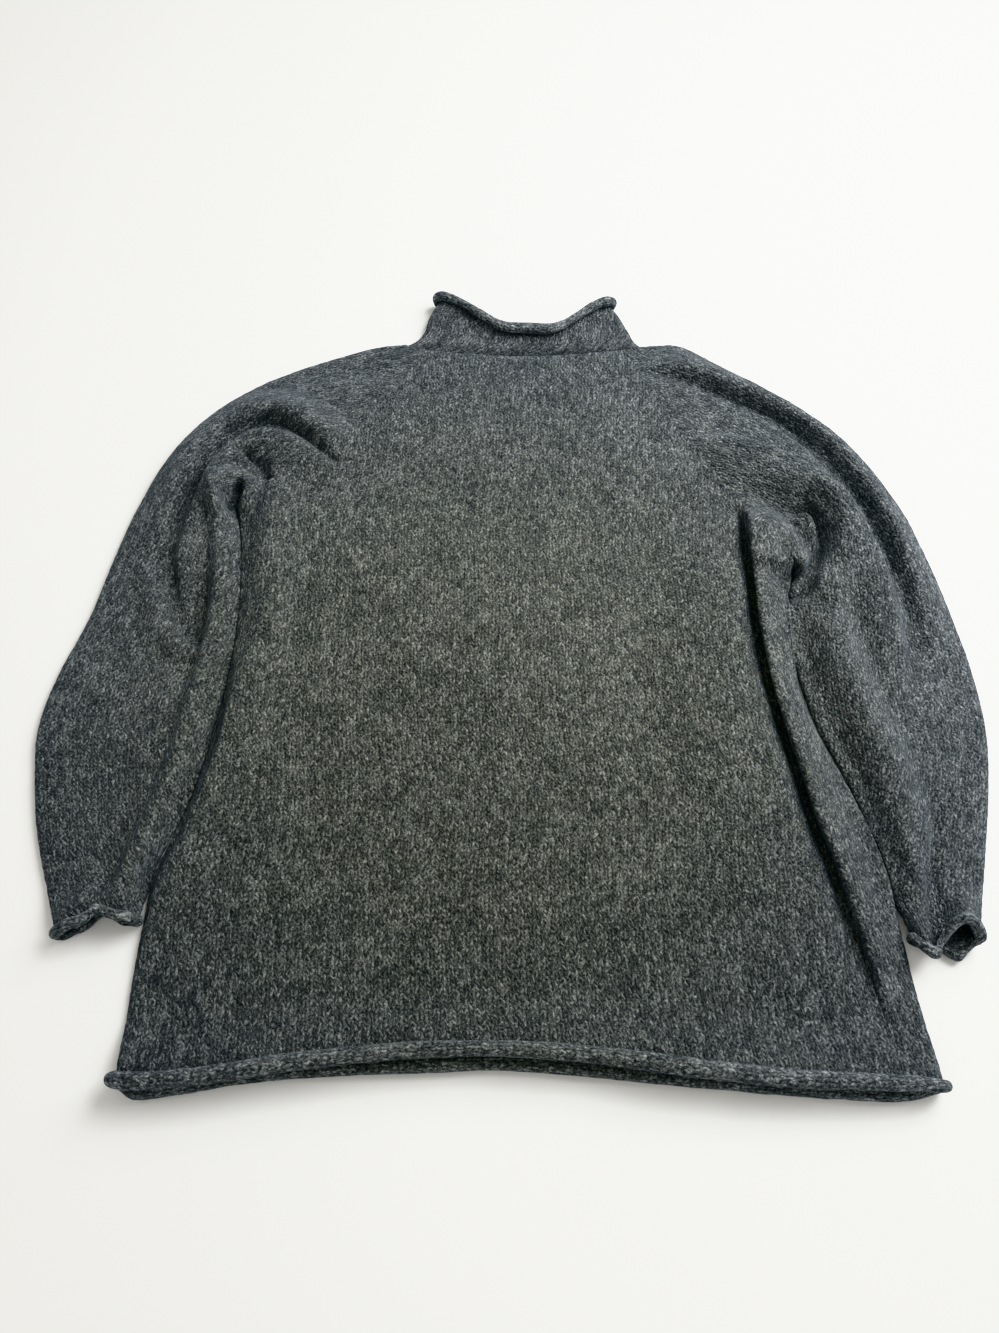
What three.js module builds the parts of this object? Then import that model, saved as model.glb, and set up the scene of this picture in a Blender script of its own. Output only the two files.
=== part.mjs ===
// A roll-neck raglan sweater in heavy stockinette, laid flat with its front up and its sleeves turned down.
// Millimetres, +Z up. X runs across the body and Y from the hem to the neck. The back lies on Z = 0, the
// front lies on the back, and each sleeve is one tube that wraps from the front raglan seam round its outer
// fold to the back raglan seam. Hem, cuffs and neck end in the loose outward roll of unribbed stockinette.
import * as THREE from "three";

// ---------- driving dimensions ----------

const WALL = 3; // the knitted cloth
const SEAM = 0.4; // gap between two pieces that are sewn together
const FLOOR_LAYER = WALL / 2; // middle of the back's wall, which rests on the floor
const FRONT_LAYER = 6.6; // middle of the front's wall where it lies flat on the back
const LOWEST_FRONT = FLOOR_LAYER + WALL + 0.8; // the front never sinks closer to the back than this
const FOLD_RADIUS = 7; // half width of the soft fold at a side edge
const SLEEVE_LOFT = 3.5; // how far the upper layer of a sleeve stands off the lower one
const CENTRE = { x: -9.95, y: 356.65 }; // middle of the laid garment, from the middle of the hem

// A roll turns outwards: its radius where it starts, its radius at a side fold, how far it turns and how
// much tighter it gets on the way, and the stretch of cloth that rises to make room for the roll below it.
const HEM_ROLL = { radius: 5.6, side: 3.6, turn: 310, tighten: 1.9, run: 46 };
const CUFF_ROLL = { radius: 3.9, side: 1.9, turn: 290, tighten: 1.2, run: 34 };
const NECK_ROLL = { radius: 6, side: 2.6, turn: 300, tighten: 1.9, run: 34 };

// How many sections and steps each piece is made of.
const STEPS = {
  fold: 3,
  body: 17,
  front: 18,
  back: 8,
  sleeve: { across: 9, under: 3, lower: 13 },
  collar: { across: 12, up: 4 },
  roll: { hem: 9, cuff: 7, neck: 8 },
};

// ---------- tables ----------

// Sections of the body, from the hem to the neck. The last seven run from the underarms up the raglan seams.
const BODY = [
  { lx: -299, ly: 0, rx: 303, ry: 0, bow: 0 },
  { lx: -301, ly: 30, rx: 301, ry: 30, bow: 0 },
  { lx: -301, ly: 65, rx: 296, ry: 66, bow: 0 },
  { lx: -298, ly: 105, rx: 292, ry: 107, bow: 0 },
  { lx: -290, ly: 152, rx: 287, ry: 152, bow: 0 },
  { lx: -275, ly: 210, rx: 272, ry: 208, bow: 0 },
  { lx: -263, ly: 275, rx: 251, ry: 272, bow: 0 },
  { lx: -256, ly: 330, rx: 240, ry: 325, bow: 0 },
  { lx: -254, ly: 390, rx: 238, ry: 368, bow: 0 },
  { lx: -258, ly: 448, rx: 240, ry: 399, bow: 0 },
  { lx: -265, ly: 500, rx: 243, ry: 424, bow: 0 },
  { lx: -238, ly: 513, rx: 220, ry: 465, bow: 0 },
  { lx: -206, ly: 538, rx: 198, ry: 502, bow: 0 },
  { lx: -176, ly: 570, rx: 172, ry: 547, bow: 0 },
  { lx: -146, ly: 606, rx: 146, ry: 594, bow: -1 },
  { lx: -115, ly: 643, rx: 122, ry: 637, bow: -3 },
  { lx: -95, ly: 676.7, rx: 106, ry: 677.2, bow: -8 },
];
const UNDERARM = 10; // the row of BODY where the raglan seams start
const NECK = BODY.length - 1;

// The hem's line on the front and on the back, where its roll starts. It pulls the rows above it out of
// straight, less and less up to HEM_PULL.
const HEM = [
  { x: -300, front: -5, back: -5 },
  { x: -264, front: -3, back: -13 },
  { x: -222, front: 4, back: -3 },
  { x: -170, front: 10, back: 2.5 },
  { x: -94, front: 15, back: 5.5 },
  { x: -10, front: 16.5, back: 7.5 },
  { x: 54, front: 13, back: 3 },
  { x: 127, front: 6, back: -3 },
  { x: 199, front: -1, back: -9 },
  { x: 256, front: -5, back: -13 },
  { x: 302, front: -9, back: -9 },
];
const HEM_PULL = 120;

// Outer fold of each sleeve where it faces the rows of BODY from the neck down to the underarm.
const SHOULDER = {
  left: [
    { x: -114, y: 679.9 },
    { x: -148, y: 681 },
    { x: -213, y: 655 },
    { x: -268, y: 626 },
    { x: -311, y: 584 },
    { x: -341, y: 538 },
    { x: -359, y: 488 },
  ],
  right: [
    { x: 122, y: 679.9 },
    { x: 164, y: 682 },
    { x: 211, y: 646 },
    { x: 262, y: 605 },
    { x: 306, y: 564 },
    { x: 336, y: 522 },
    { x: 356, y: 483 },
  ],
};

// Sections of each sleeve below the underarm: how far up its inner fold lies beside the body, and its
// outer fold.
const ARM = {
  left: [
    { iy: 466, ox: -368, oy: 455 },
    { iy: 427, ox: -376, oy: 417 },
    { iy: 380, ox: -386, oy: 370 },
    { iy: 325, ox: -402, oy: 322 },
    { iy: 275, ox: -411, oy: 272 },
    { iy: 222, ox: -406, oy: 228 },
    { iy: 176, ox: -396, oy: 183 },
    { iy: 140, ox: -381, oy: 141 },
    { iy: 110, ox: -363, oy: 102 },
  ],
  right: [
    { iy: 402, ox: 365, oy: 450 },
    { iy: 370, ox: 374, oy: 415 },
    { iy: 328, ox: 383, oy: 368 },
    { iy: 280, ox: 390, oy: 317 },
    { iy: 226, ox: 391, oy: 266 },
    { iy: 184, ox: 382, oy: 213 },
    { iy: 152, ox: 371, oy: 168 },
    { iy: 126, ox: 360, oy: 128 },
    { iy: 98, ox: 348, oy: 98 },
  ],
};
const BESIDE = 0.8; // gap between the body's side and the sleeve that lies beside it

// Waves of the cuffs' edges. "at" runs across a layer from the inner fold to the outer one, "reach" is how
// far the edge stands out along the arm, and "rise" how far it lifts.
const CUFF_WAVES = {
  left: {
    upper: [
      { at: 0, reach: 0, rise: 0 },
      { at: 0.35, reach: -7, rise: 2 },
      { at: 0.7, reach: -3, rise: 3 },
      { at: 1, reach: 3, rise: 0 },
    ],
    lower: [
      { at: 0, reach: 0, rise: 0 },
      { at: 0.45, reach: -5, rise: 0 },
      { at: 1, reach: 3, rise: 0 },
    ],
  },
  right: {
    upper: [
      { at: 0, reach: 0, rise: 0 },
      { at: 0.25, reach: 14, rise: 0 },
      { at: 0.68, reach: -10, rise: 11 },
      { at: 1, reach: 2, rise: 2 },
    ],
    lower: [
      { at: 0, reach: 2, rise: 0 },
      { at: 0.4, reach: 6, rise: 0 },
      { at: 0.75, reach: 14, rise: 0 },
      { at: 1, reach: 2, rise: 0 },
    ],
  },
};

// Sections of the collar from its seam to the edge that rolls. "bow" is how far the front dips between the
// side folds, "backBow" the back, and "rise" how far the front stands off the back.
const COLLAR = [
  { lx: -114, ly: 680, rx: 122, ry: 680, bow: -11, backBow: -11, rise: 0 },
  { lx: -102, ly: 695, rx: 116, ry: 695, bow: -22, backBow: -21, rise: 3 },
  { lx: -93, ly: 711, rx: 109, ry: 708, bow: -33, backBow: -32, rise: 5 },
  { lx: -85, ly: 727, rx: 99, ry: 721, bow: -44, backBow: -43, rise: 6 },
];

// The largest folds of the upper layer. Each runs from (x0, y0) through (x1, y1) to (x2, y2); "height" is
// above the flat cloth for a ridge and below it for a trough; "port" and "starboard" are its half widths to
// the left and right of that way.
const FOLDS = [
  // the right side: the body's side pushed in by the sleeve, and the sleeve's slack above the underarm
  { x0: 186, y0: 470, x1: 190, y1: 280, x2: 236, y2: 60, height: 4, port: 26, starboard: 60 },
  { x0: 221, y0: 470, x1: 230, y1: 268, x2: 276, y2: 40, height: 17, port: 34, starboard: 15 },
  { x0: 205, y0: 484, x1: 212, y1: 285, x2: 252, y2: 60, height: -4, port: 7, starboard: 16 },
  { x0: 120, y0: 640, x1: 272, y1: 571, x2: 338, y2: 395, height: -13, port: 17, starboard: 15 },
  { x0: 130, y0: 664, x1: 300, y1: 583, x2: 366, y2: 390, height: 9, port: 30, starboard: 24 },
  { x0: 196, y0: 528, x1: 292, y1: 498, x2: 318, y2: 330, height: 19, port: 22, starboard: 24 },
  { x0: 246, y0: 494, x1: 281, y1: 468, x2: 253, y2: 402, height: -13, port: 12, starboard: 12 },
  { x0: 208, y0: 500, x1: 238, y1: 462, x2: 243, y2: 432, height: 12, port: 26, starboard: 22 },
  { x0: 254, y0: 392, x1: 262, y1: 336, x2: 296, y2: 240, height: 9, port: 24, starboard: 16 },
  { x0: 284, y0: 400, x1: 286, y1: 350, x2: 300, y2: 300, height: -5, port: 20, starboard: 20 },
  { x0: 330, y0: 215, x1: 327, y1: 170, x2: 322, y2: 108, height: -5, port: 11, starboard: 11 },
  // the left side
  { x0: -190, y0: 552, x1: -254, y1: 595, x2: -313, y2: 508, height: -12, port: 13, starboard: 17 },
  { x0: -150, y0: 645, x1: -276, y1: 603, x2: -345, y2: 480, height: 7, port: 22, starboard: 26 },
  { x0: -200, y0: 528, x1: -266, y1: 553, x2: -304, y2: 436, height: 12, port: 15, starboard: 15 },
  { x0: -262, y0: 552, x1: -245, y1: 527, x2: -238, y2: 496, height: -9, port: 10, starboard: 9 },
  { x0: -280, y0: 512, x1: -269, y1: 420, x2: -272, y2: 280, height: 9, port: 12, starboard: 14 },
  { x0: -312, y0: 468, x1: -306, y1: 415, x2: -286, y2: 352, height: -8, port: 20, starboard: 20 },
  { x0: -285, y0: 360, x1: -288, y1: 300, x2: -288, y2: 240, height: -4, port: 14, starboard: 14 },
  // the yoke and the middle of the front
  { x0: -205, y0: 640, x1: -155, y1: 646, x2: -115, y2: 652, height: -3, port: 16, starboard: 14 },
  { x0: -150, y0: 430, x1: -205, y1: 330, x2: -235, y2: 210, height: -2, port: 34, starboard: 30 },
  { x0: -120, y0: 300, x1: 10, y1: 330, x2: 130, y2: 290, height: 2, port: 90, starboard: 90 },
];

// ---------- small helpers ----------

const mix = (a, b, t) => a + (b - a) * t;
const limit = (t, low, high) => Math.min(high, Math.max(low, t));
const ease = (t) => limit(t, 0, 1) ** 2 * (3 - 2 * limit(t, 0, 1));
const degrees = (angle) => (angle * Math.PI) / 180;
const range = (n) => Array.from({ length: n }, (_, i) => i);

// The larger of two heights, rounded where they cross.
const smoothMax = (a, b) => (a + b + Math.hypot(a - b, 1.2)) / 2;

// The fractional row at which a table's column, rising or falling, reaches a value.
function rowWhere(rows, name, value) {
  const rising = rows.at(-1)[name] > rows[0][name];
  const next = rows.findIndex((row) => (rising ? row[name] >= value : row[name] <= value));
  if (next <= 0) {
    return next < 0 ? rows.length - 1 : 0;
  }
  const [a, b] = [rows[next - 1][name], rows[next][name]];
  return next - 1 + (value - a) / (b - a);
}

// A table's column at a fractional row, on a Catmull-Rom curve through its rows.
function column(rows, name, at) {
  const last = rows.length - 1;
  const row = limit(Math.floor(at), 0, last - 1);
  const t = at - row;
  const [a, b, c, d] = [-1, 0, 1, 2].map((k) => rows[limit(row + k, 0, last)][name]);
  return b + 0.5 * t * (c - a + t * (2 * a - 5 * b + 4 * c - d + t * (3 * (b - c) + d - a)));
}

// How a sewn edge bows between its ends, and how a neck's loose edge dips, deepest to the right of its middle.
const archAt = (at) => 4 * at * (1 - at);
const neckDipAt = (at) => Math.sin(Math.PI * limit(at, 0, 1) ** 1.15) ** 1.3;

// A wave table's column at a place across the layer, eased from knot to knot.
function waveAt(knots, name, at) {
  const next = Math.max(1, knots.findIndex((k) => k.at >= at));
  const [a, b] = [knots[next - 1], knots[next]];
  return mix(a[name], b[name], ease((at - a.at) / (b.at - a.at)));
}

// ---------- heights of the cloth ----------

// Points along a fold's line, a parabola through its three given points.
const FOLD_LINES = FOLDS.map((f) => {
  const cx = 2 * f.x1 - (f.x0 + f.x2) / 2;
  const cy = 2 * f.y1 - (f.y0 + f.y2) / 2;
  return range(17).map((i) => {
    const t = i / 16;
    const [a, b, c] = [(1 - t) ** 2, 2 * t * (1 - t), t * t];
    return { x: a * f.x0 + b * cx + c * f.x2, y: a * f.y0 + b * cy + c * f.y2 };
  });
});

// Height that one fold adds at (x, y): (1 - q²)² across it, where q is the distance over the half width, and
// faded out over the first and last fifth of its length.
function foldHeight(fold, line, x, y) {
  let best = { away: Infinity };
  for (let i = 0; i < line.length - 1; i += 1) {
    const [p, q] = [line[i], line[i + 1]];
    const [dx, dy] = [q.x - p.x, q.y - p.y];
    const t = limit(((x - p.x) * dx + (y - p.y) * dy) / (dx * dx + dy * dy), 0, 1);
    const away = Math.hypot(x - p.x - t * dx, y - p.y - t * dy);
    if (away < best.away) {
      best = { away, along: (i + t) / (line.length - 1), left: dx * (y - p.y) - dy * (x - p.x) > 0 };
    }
  }
  const q = best.away / (best.left ? fold.port : fold.starboard);
  const fade = ease(best.along / 0.2) * ease((1 - best.along) / 0.2);
  return q < 1 ? fold.height * (1 - q * q) ** 2 * fade : 0;
}

const allFolds = (x, y) => FOLDS.reduce((sum, f, i) => sum + foldHeight(f, FOLD_LINES[i], x, y), 0);

// Height of the roll that lies under a lifted edge.
const rollHeight = (roll) => 2 * roll.radius - roll.tighten * (180 / roll.turn);

// How far the cloth is lifted at a distance from the edge that rolls.
const rollLift = (roll, away) => rollHeight(roll) * (1 - ease(away / roll.run));

// Middle of the upper layer's wall, with what the folds, a lift and a piece's own fullness add.
const upperHeight = (x, y, extra) =>
  smoothMax(FRONT_LAYER + allFolds(x, y) + extra, LOWEST_FRONT + extra * 0.5);

// Unit normal of the upper layer, from the slope of the folds.
function upperNormal(x, y) {
  const step = 1.5;
  const slopeX = (allFolds(x + step, y) - allFolds(x - step, y)) / (2 * step);
  const slopeY = (allFolds(x, y + step) - allFolds(x, y - step)) / (2 * step);
  return new THREE.Vector3(-slopeX, -slopeY, 1).normalize();
}

// ---------- sections ----------

// One layer of a section, from edge a to edge b. Each edge is folded (fold 1) or sewn (fold 0). A fold is a
// quarter of an ellipse from the layer down, or up, to the height where the two layers meet. Every point is
// { p, n, at, up }: a place on the middle of the wall, the normal towards the right side of the knitting, how
// far across it lies, and how flat it lies.
function layer({ a, b, foldA, foldB, bow = () => 0, across, height, normal, meet, lift = 0 }) {
  const along = new THREE.Vector3(b.x - a.x, b.y - a.y, 0);
  const width = along.length();
  along.normalize();
  const inset = { a: mix(SEAM / 2, WALL / 2, foldA), b: mix(SEAM / 2, WALL / 2, foldB) };
  const radius = Math.min(FOLD_RADIUS, width / 6);
  const turns = range(STEPS.fold + 1).map((k) => degrees((90 * k) / STEPS.fold));
  const inner = range(across - 1).map((k) => (k + 1) / across);
  const places = [
    ...turns.map((turn) => ({ d: inset.a + radius * (1 - Math.cos(turn)), turn, fold: foldA, side: -1 })),
    ...inner.map((t) => {
      const even = mix(t, 0.5 - 0.5 * Math.cos(Math.PI * t), 0.5);
      const d = mix(inset.a + radius, width - inset.b - radius, even);
      return { d, turn: Math.PI / 2, fold: 0, side: 1 };
    }),
    ...turns
      .map((turn) => ({ d: width - inset.b - radius * (1 - Math.cos(turn)), turn, fold: foldB, side: 1 }))
      .reverse(),
  ];
  return places.map(({ d, turn, fold, side }) => {
    const at = d / width;
    const x = a.x + along.x * d;
    const y = a.y + along.y * d + bow(at, x);
    const edge = side < 0 ? meet.a : meet.b;
    // two pieces that share an edge take their height and normal from the edge itself
    const source = turn > 0 ? { x, y } : side < 0 ? a : b;
    const full = height(source.x, source.y, at) + lift;
    const share = mix(1, Math.sin(turn), fold);
    const flat = normal(source.x, source.y);
    const half = Math.abs(full - edge - lift) + 0.5;
    const n = along
      .clone()
      .multiplyScalar(side * fold * Math.cos(turn) * half)
      .addScaledVector(flat, radius * share)
      .normalize();
    return { p: new THREE.Vector3(x, y, mix(edge + lift, full, share)), n, at, up: share };
  });
}

const down = () => new THREE.Vector3(0, 0, -1);

// Where the two layers of a folded edge meet: half way up.
const meetHeight = (x, y) => (upperHeight(x, y, 0) + FLOOR_LAYER) / 2;

// The rows that a roll adds beyond the edge of a piece, from its free end back to that edge.
function rollRows(edge, roll, outwards, steps) {
  return range(steps)
    .map((k) => degrees((roll.turn * (steps - k)) / steps))
    .map((turn) =>
      edge.map(({ p, n, up, at }) => {
        const start = mix(roll.side, roll.radius, up);
        const radius = start * (1 - ((roll.tighten / roll.radius) * turn) / degrees(roll.turn));
        const reach = outwards.clone().addScaledVector(n, -outwards.dot(n)).normalize();
        const place = p
          .clone()
          .addScaledVector(n, start - radius * Math.cos(turn))
          .addScaledVector(reach, radius * Math.sin(turn));
        const facing = n.clone().multiplyScalar(Math.cos(turn)).addScaledVector(reach, -Math.sin(turn));
        return { p: place, n: facing, up, at };
      }),
    );
}

// ---------- pieces ----------

// A closed wall from a grid of { p, n }: the two skins half a wall to either side, and the rims between them.
function wall(name, grid, tubular) {
  const [rows, cols] = [grid.length, grid[0].length];
  const half = rows * cols;
  const positions = [WALL / 2, -WALL / 2].flatMap((away) =>
    grid.flatMap((row) => row.flatMap(({ p, n }) => p.clone().addScaledVector(n, away).toArray())),
  );
  const id = (row, col, skin) => skin * half + row * cols + (col % cols);
  const faces = [];
  const quad = (a, b, c, d) => faces.push(a, b, c, a, c, d);
  const lastCol = tubular ? cols : cols - 1;
  for (let r = 0; r < rows - 1; r += 1) {
    for (let c = 0; c < lastCol; c += 1) {
      quad(id(r, c, 0), id(r, c + 1, 0), id(r + 1, c + 1, 0), id(r + 1, c, 0));
      quad(id(r, c, 1), id(r + 1, c, 1), id(r + 1, c + 1, 1), id(r, c + 1, 1));
    }
  }
  for (let c = 0; c < lastCol; c += 1) {
    quad(id(0, c, 1), id(0, c + 1, 1), id(0, c + 1, 0), id(0, c, 0));
    quad(id(rows - 1, c, 0), id(rows - 1, c + 1, 0), id(rows - 1, c + 1, 1), id(rows - 1, c, 1));
  }
  // both side rims are split the same way, so that two pieces sewn together twist alike
  for (let r = 0; r < rows - 1 && !tubular; r += 1) {
    quad(id(r, 0, 0), id(r + 1, 0, 0), id(r + 1, 0, 1), id(r, 0, 1));
    quad(id(r, cols - 1, 0), id(r, cols - 1, 1), id(r + 1, cols - 1, 1), id(r + 1, cols - 1, 0));
  }
  const geometry = new THREE.BufferGeometry();
  geometry.setAttribute("position", new THREE.Float32BufferAttribute(positions, 3));
  geometry.setIndex(volume(positions, faces) > 0 ? faces : faces.reverse());
  geometry.computeVertexNormals();
  const wool = new THREE.MeshStandardMaterial({ color: 0x454845, roughness: 0.95, metalness: 0 });
  const mesh = new THREE.Mesh(geometry, wool);
  mesh.name = name;
  return mesh;
}

// Signed volume of a closed mesh: positive when its faces point out.
function volume(positions, faces) {
  const corner = (k) => new THREE.Vector3().fromArray(positions, 3 * k);
  let sum = 0;
  for (let i = 0; i < faces.length; i += 3) {
    const [a, b, c] = [corner(faces[i]), corner(faces[i + 1]), corner(faces[i + 2])];
    sum += a.dot(b.cross(c)) / 6;
  }
  return sum;
}

// The hem's line on the front or the back, and how much of it a row at height y still follows.
const hemLine = (x, panel) => column(HEM, panel, rowWhere(HEM, "x", x));
const hemPull = (y) => 1 - ease(y / HEM_PULL);

// The rows of BODY at which a body panel has its sections, closer together near the hem.
const BODY_STATIONS = [
  ...range(STEPS.body + 1).map((k) => UNDERARM * (k / STEPS.body) ** 1.15),
  ...range(NECK - UNDERARM).map((k) => UNDERARM + 1 + k),
];

// The front or the back: sections from the hem to the neck, and the roll of the hem.
function bodyPanel(name) {
  const isFront = name === "front";
  const lift = (x, y, panel) => rollLift(HEM_ROLL, y - hemLine(x, panel));
  const rows = BODY_STATIONS.map((station) => {
    const [lx, ly, rx, ry, bow] = ["lx", "ly", "rx", "ry", "bow"].map((c) => column(BODY, c, station));
    const fold = ease((UNDERARM + 0.1 - station) / 0.5);
    const trim = station === NECK ? SEAM / 2 : 0;
    const half = isFront ? SEAM / 2 : -SEAM / 2;
    const meet = (x, y, inward) => {
      const row = y + hemLine(x, "front") * hemPull(y);
      return meetHeight(x + inward * FOLD_RADIUS, row) + lift(x, row, "front") + half;
    };
    return layer({
      a: { x: lx, y: ly - trim },
      b: { x: rx, y: ry - trim },
      foldA: fold,
      foldB: fold,
      bow: (at, x) => bow * archAt(at) + hemLine(x, name) * hemPull(ly),
      across: isFront ? STEPS.front : STEPS.back,
      height: isFront
        ? (x, y) => upperHeight(x, y, 0) + lift(x, y, name)
        : (x, y) => FLOOR_LAYER + lift(x, y, name),
      normal: isFront ? upperNormal : down,
      meet: { a: meet(lx, ly, 1), b: meet(rx, ry, -1) },
    });
  });
  const roll = rollRows(rows[0], HEM_ROLL, new THREE.Vector3(0, -1, 0), STEPS.roll.hem);
  return wall(name, [...roll, ...rows], false);
}

// The line of a body's side, which the sleeve below the underarm follows.
const SIDE = {
  left: BODY_STATIONS.map((k) => ({ x: column(BODY, "lx", k) - BESIDE, y: column(BODY, "ly", k) })),
  right: BODY_STATIONS.map((k) => ({ x: column(BODY, "rx", k) + BESIDE, y: column(BODY, "ry", k) })),
};
function besideBody(side, y) {
  const at = rowWhere(SIDE[side], "y", y);
  const row = Math.min(Math.floor(at), SIDE[side].length - 2);
  return mix(SIDE[side][row].x, SIDE[side][row + 1].x, at - row);
}

// Sections of a sleeve from the neck to the cuff: the inner edge, which is the raglan seam down to the
// underarm and the inner fold below it, and the outer fold.
function sleeveSections(side) {
  const left = side === "left";
  const raglan = SHOULDER[side].map(({ x, y }, k) => {
    const row = BODY[NECK - k];
    return { ix: left ? row.lx : row.rx, iy: left ? row.ly : row.ry, ox: x, oy: y };
  });
  return [...raglan, ...ARM[side].map((row) => ({ ...row, ix: besideBody(side, row.iy) }))];
}

function sleeve(name, side) {
  const sections = sleeveSections(side);
  const underarm = NECK - UNDERARM;
  const last = sections.length - 1;
  const stations = [
    ...range(underarm + 1),
    underarm + 0.3,
    ...range(STEPS.sleeve.lower).map((k) => mix(underarm + 0.3, last, (k + 1) / STEPS.sleeve.lower)),
  ];
  const point = (station, x, y) => {
    const place = { x: column(sections, x, station), y: column(sections, y, station) };
    return x === "ix" && station > underarm ? { x: besideBody(side, place.y), y: place.y } : place;
  };
  const centre = (station) => {
    const [i, o] = [point(station, "ix", "iy"), point(station, "ox", "oy")];
    return new THREE.Vector3((i.x + o.x) / 2, (i.y + o.y) / 2, 0);
  };
  const end = centre(last);
  const outwards = end.clone().sub(centre(last - 1)).normalize();
  const waves = CUFF_WAVES[side];
  const rows = stations.map((station) => {
    const [inner, outer] = [point(station, "ix", "iy"), point(station, "ox", "oy")];
    const away = end.clone().sub(centre(station)).length();
    // the cuff's roll needs room beside the body
    const room = 2.2 * CUFF_ROLL.side * (1 - ease(away / CUFF_ROLL.run));
    inner.x += side === "left" ? -room : room;
    const lift = rollLift(CUFF_ROLL, away);
    const wave = 1 - ease(away / (1.6 * CUFF_ROLL.run));
    const fold = ease((station - underarm) / 0.3);
    const loft = SLEEVE_LOFT * ease(station / 3);
    const shared = { a: inner, b: outer, foldA: fold, foldB: 1 };
    const meetAt = (edge, other) => {
      const toward = FOLD_RADIUS / Math.hypot(other.x - edge.x, other.y - edge.y);
      return meetHeight(mix(edge.x, other.x, toward), mix(edge.y, other.y, toward));
    };
    const meet = { a: meetAt(inner, outer), b: meetAt(outer, inner) };
    const upper = layer({
      ...shared,
      across: STEPS.sleeve.across,
      height: (x, y, at) => upperHeight(x, y, loft * Math.sin(Math.PI * limit(at, 0, 1)) ** 0.7),
      normal: upperNormal,
      meet: { a: meet.a + SEAM / 2, b: meet.b },
      lift,
    });
    const under = layer({
      ...shared,
      across: STEPS.sleeve.under,
      height: () => FLOOR_LAYER,
      normal: down,
      meet: { a: meet.a - SEAM / 2, b: meet.b },
      lift,
    });
    const moved = (points, knots) =>
      points.forEach(({ p, at }) => {
        p.addScaledVector(outwards, wave * waveAt(knots, "reach", limit(at, 0, 1)));
        p.z += wave * waveAt(knots, "rise", limit(at, 0, 1));
      });
    moved(upper, waves.upper);
    moved(under, waves.lower);
    return [...upper, ...under.reverse().slice(1)];
  });
  const roll = rollRows(rows.at(-1), CUFF_ROLL, outwards, STEPS.roll.cuff);
  return wall(name, [...roll, ...rows.reverse()], false);
}

function collar(name) {
  const last = COLLAR.length - 1;
  const rows = range(STEPS.collar.up + 1).map((k) => {
    const station = (last * k) / STEPS.collar.up;
    const names = ["lx", "ly", "rx", "ry", "bow", "backBow", "rise"];
    const [lx, ly, rx, ry, bow, backBow, rise] = names.map((c) => column(COLLAR, c, station));
    const trim = k === 0 ? SEAM : 0;
    const lift = rollHeight(NECK_ROLL) * ease(station / last);
    const dip = (at) => mix(archAt(at), neckDipAt(at), station / last);
    const shared = {
      a: { x: lx, y: ly + trim },
      b: { x: rx, y: ry + trim },
      foldA: 1,
      foldB: 1,
      across: STEPS.collar.across,
      lift,
    };
    const meet = meetHeight((lx + rx) / 2, ly);
    const front = layer({
      ...shared,
      bow: (at) => bow * dip(at),
      height: (x, y, at) => upperHeight(x, y, 0) + rise * Math.sin(Math.PI * limit(at, 0, 1)),
      normal: upperNormal,
      meet: { a: meet, b: meet },
    });
    const back = layer({
      ...shared,
      bow: (at) => backBow * dip(at),
      height: () => FLOOR_LAYER,
      normal: down,
      meet: { a: meet, b: meet },
    });
    return [...front, ...back.reverse().slice(1, -1)];
  });
  const roll = rollRows(rows.at(-1), NECK_ROLL, new THREE.Vector3(0, 1, 0), STEPS.roll.neck);
  return wall(name, [...rows, ...roll.reverse()], true);
}

// ---------- the sweater ----------

const sweater = new THREE.Group();
sweater.add(
  bodyPanel("front"),
  bodyPanel("back"),
  sleeve("sleeve_left", "left"),
  sleeve("sleeve_right", "right"),
  collar("collar"),
);
sweater.position.set(-CENTRE.x, -CENTRE.y, 0);

export default sweater;
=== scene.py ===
"""A roll-neck raglan sweater in marled charcoal wool, laid flat with its front up and its sleeves down.

The cloth is worked out in millimetres, in the pattern's own frame: X across the body, Y from the middle of
the hem to the neck, Z up from the surface it lies on. CENTRE moves it to the CAD model's origin. Each piece
is a closed wall of knitted cloth, and its UV map counts stitches, so that the knitting follows the cloth.
"""

import math

import bpy
import numpy as np
from bpy.props import FloatProperty, FloatVectorProperty, PointerProperty
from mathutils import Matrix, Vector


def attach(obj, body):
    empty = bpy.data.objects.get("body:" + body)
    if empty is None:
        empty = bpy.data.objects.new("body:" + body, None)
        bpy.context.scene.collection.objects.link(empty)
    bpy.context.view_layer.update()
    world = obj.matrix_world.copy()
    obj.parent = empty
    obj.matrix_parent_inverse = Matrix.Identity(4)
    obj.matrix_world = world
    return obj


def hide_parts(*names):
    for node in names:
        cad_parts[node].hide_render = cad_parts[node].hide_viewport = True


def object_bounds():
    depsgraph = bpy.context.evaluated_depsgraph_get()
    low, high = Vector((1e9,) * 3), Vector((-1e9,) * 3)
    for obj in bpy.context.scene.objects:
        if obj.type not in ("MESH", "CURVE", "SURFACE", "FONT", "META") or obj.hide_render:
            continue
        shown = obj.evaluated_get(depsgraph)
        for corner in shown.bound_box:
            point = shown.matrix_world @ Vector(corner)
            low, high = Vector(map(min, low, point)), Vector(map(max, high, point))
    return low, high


bl_info = {
    "name": "Roll-neck sweater",
    "version": (1, 0, 0),
    "blender": (4, 5, 0),
    "location": "View3D > Sidebar > Sweater",
    "description": "Knits a roll-neck raglan sweater, laid flat, round its CAD frame",
    "category": "Object",
}

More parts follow.
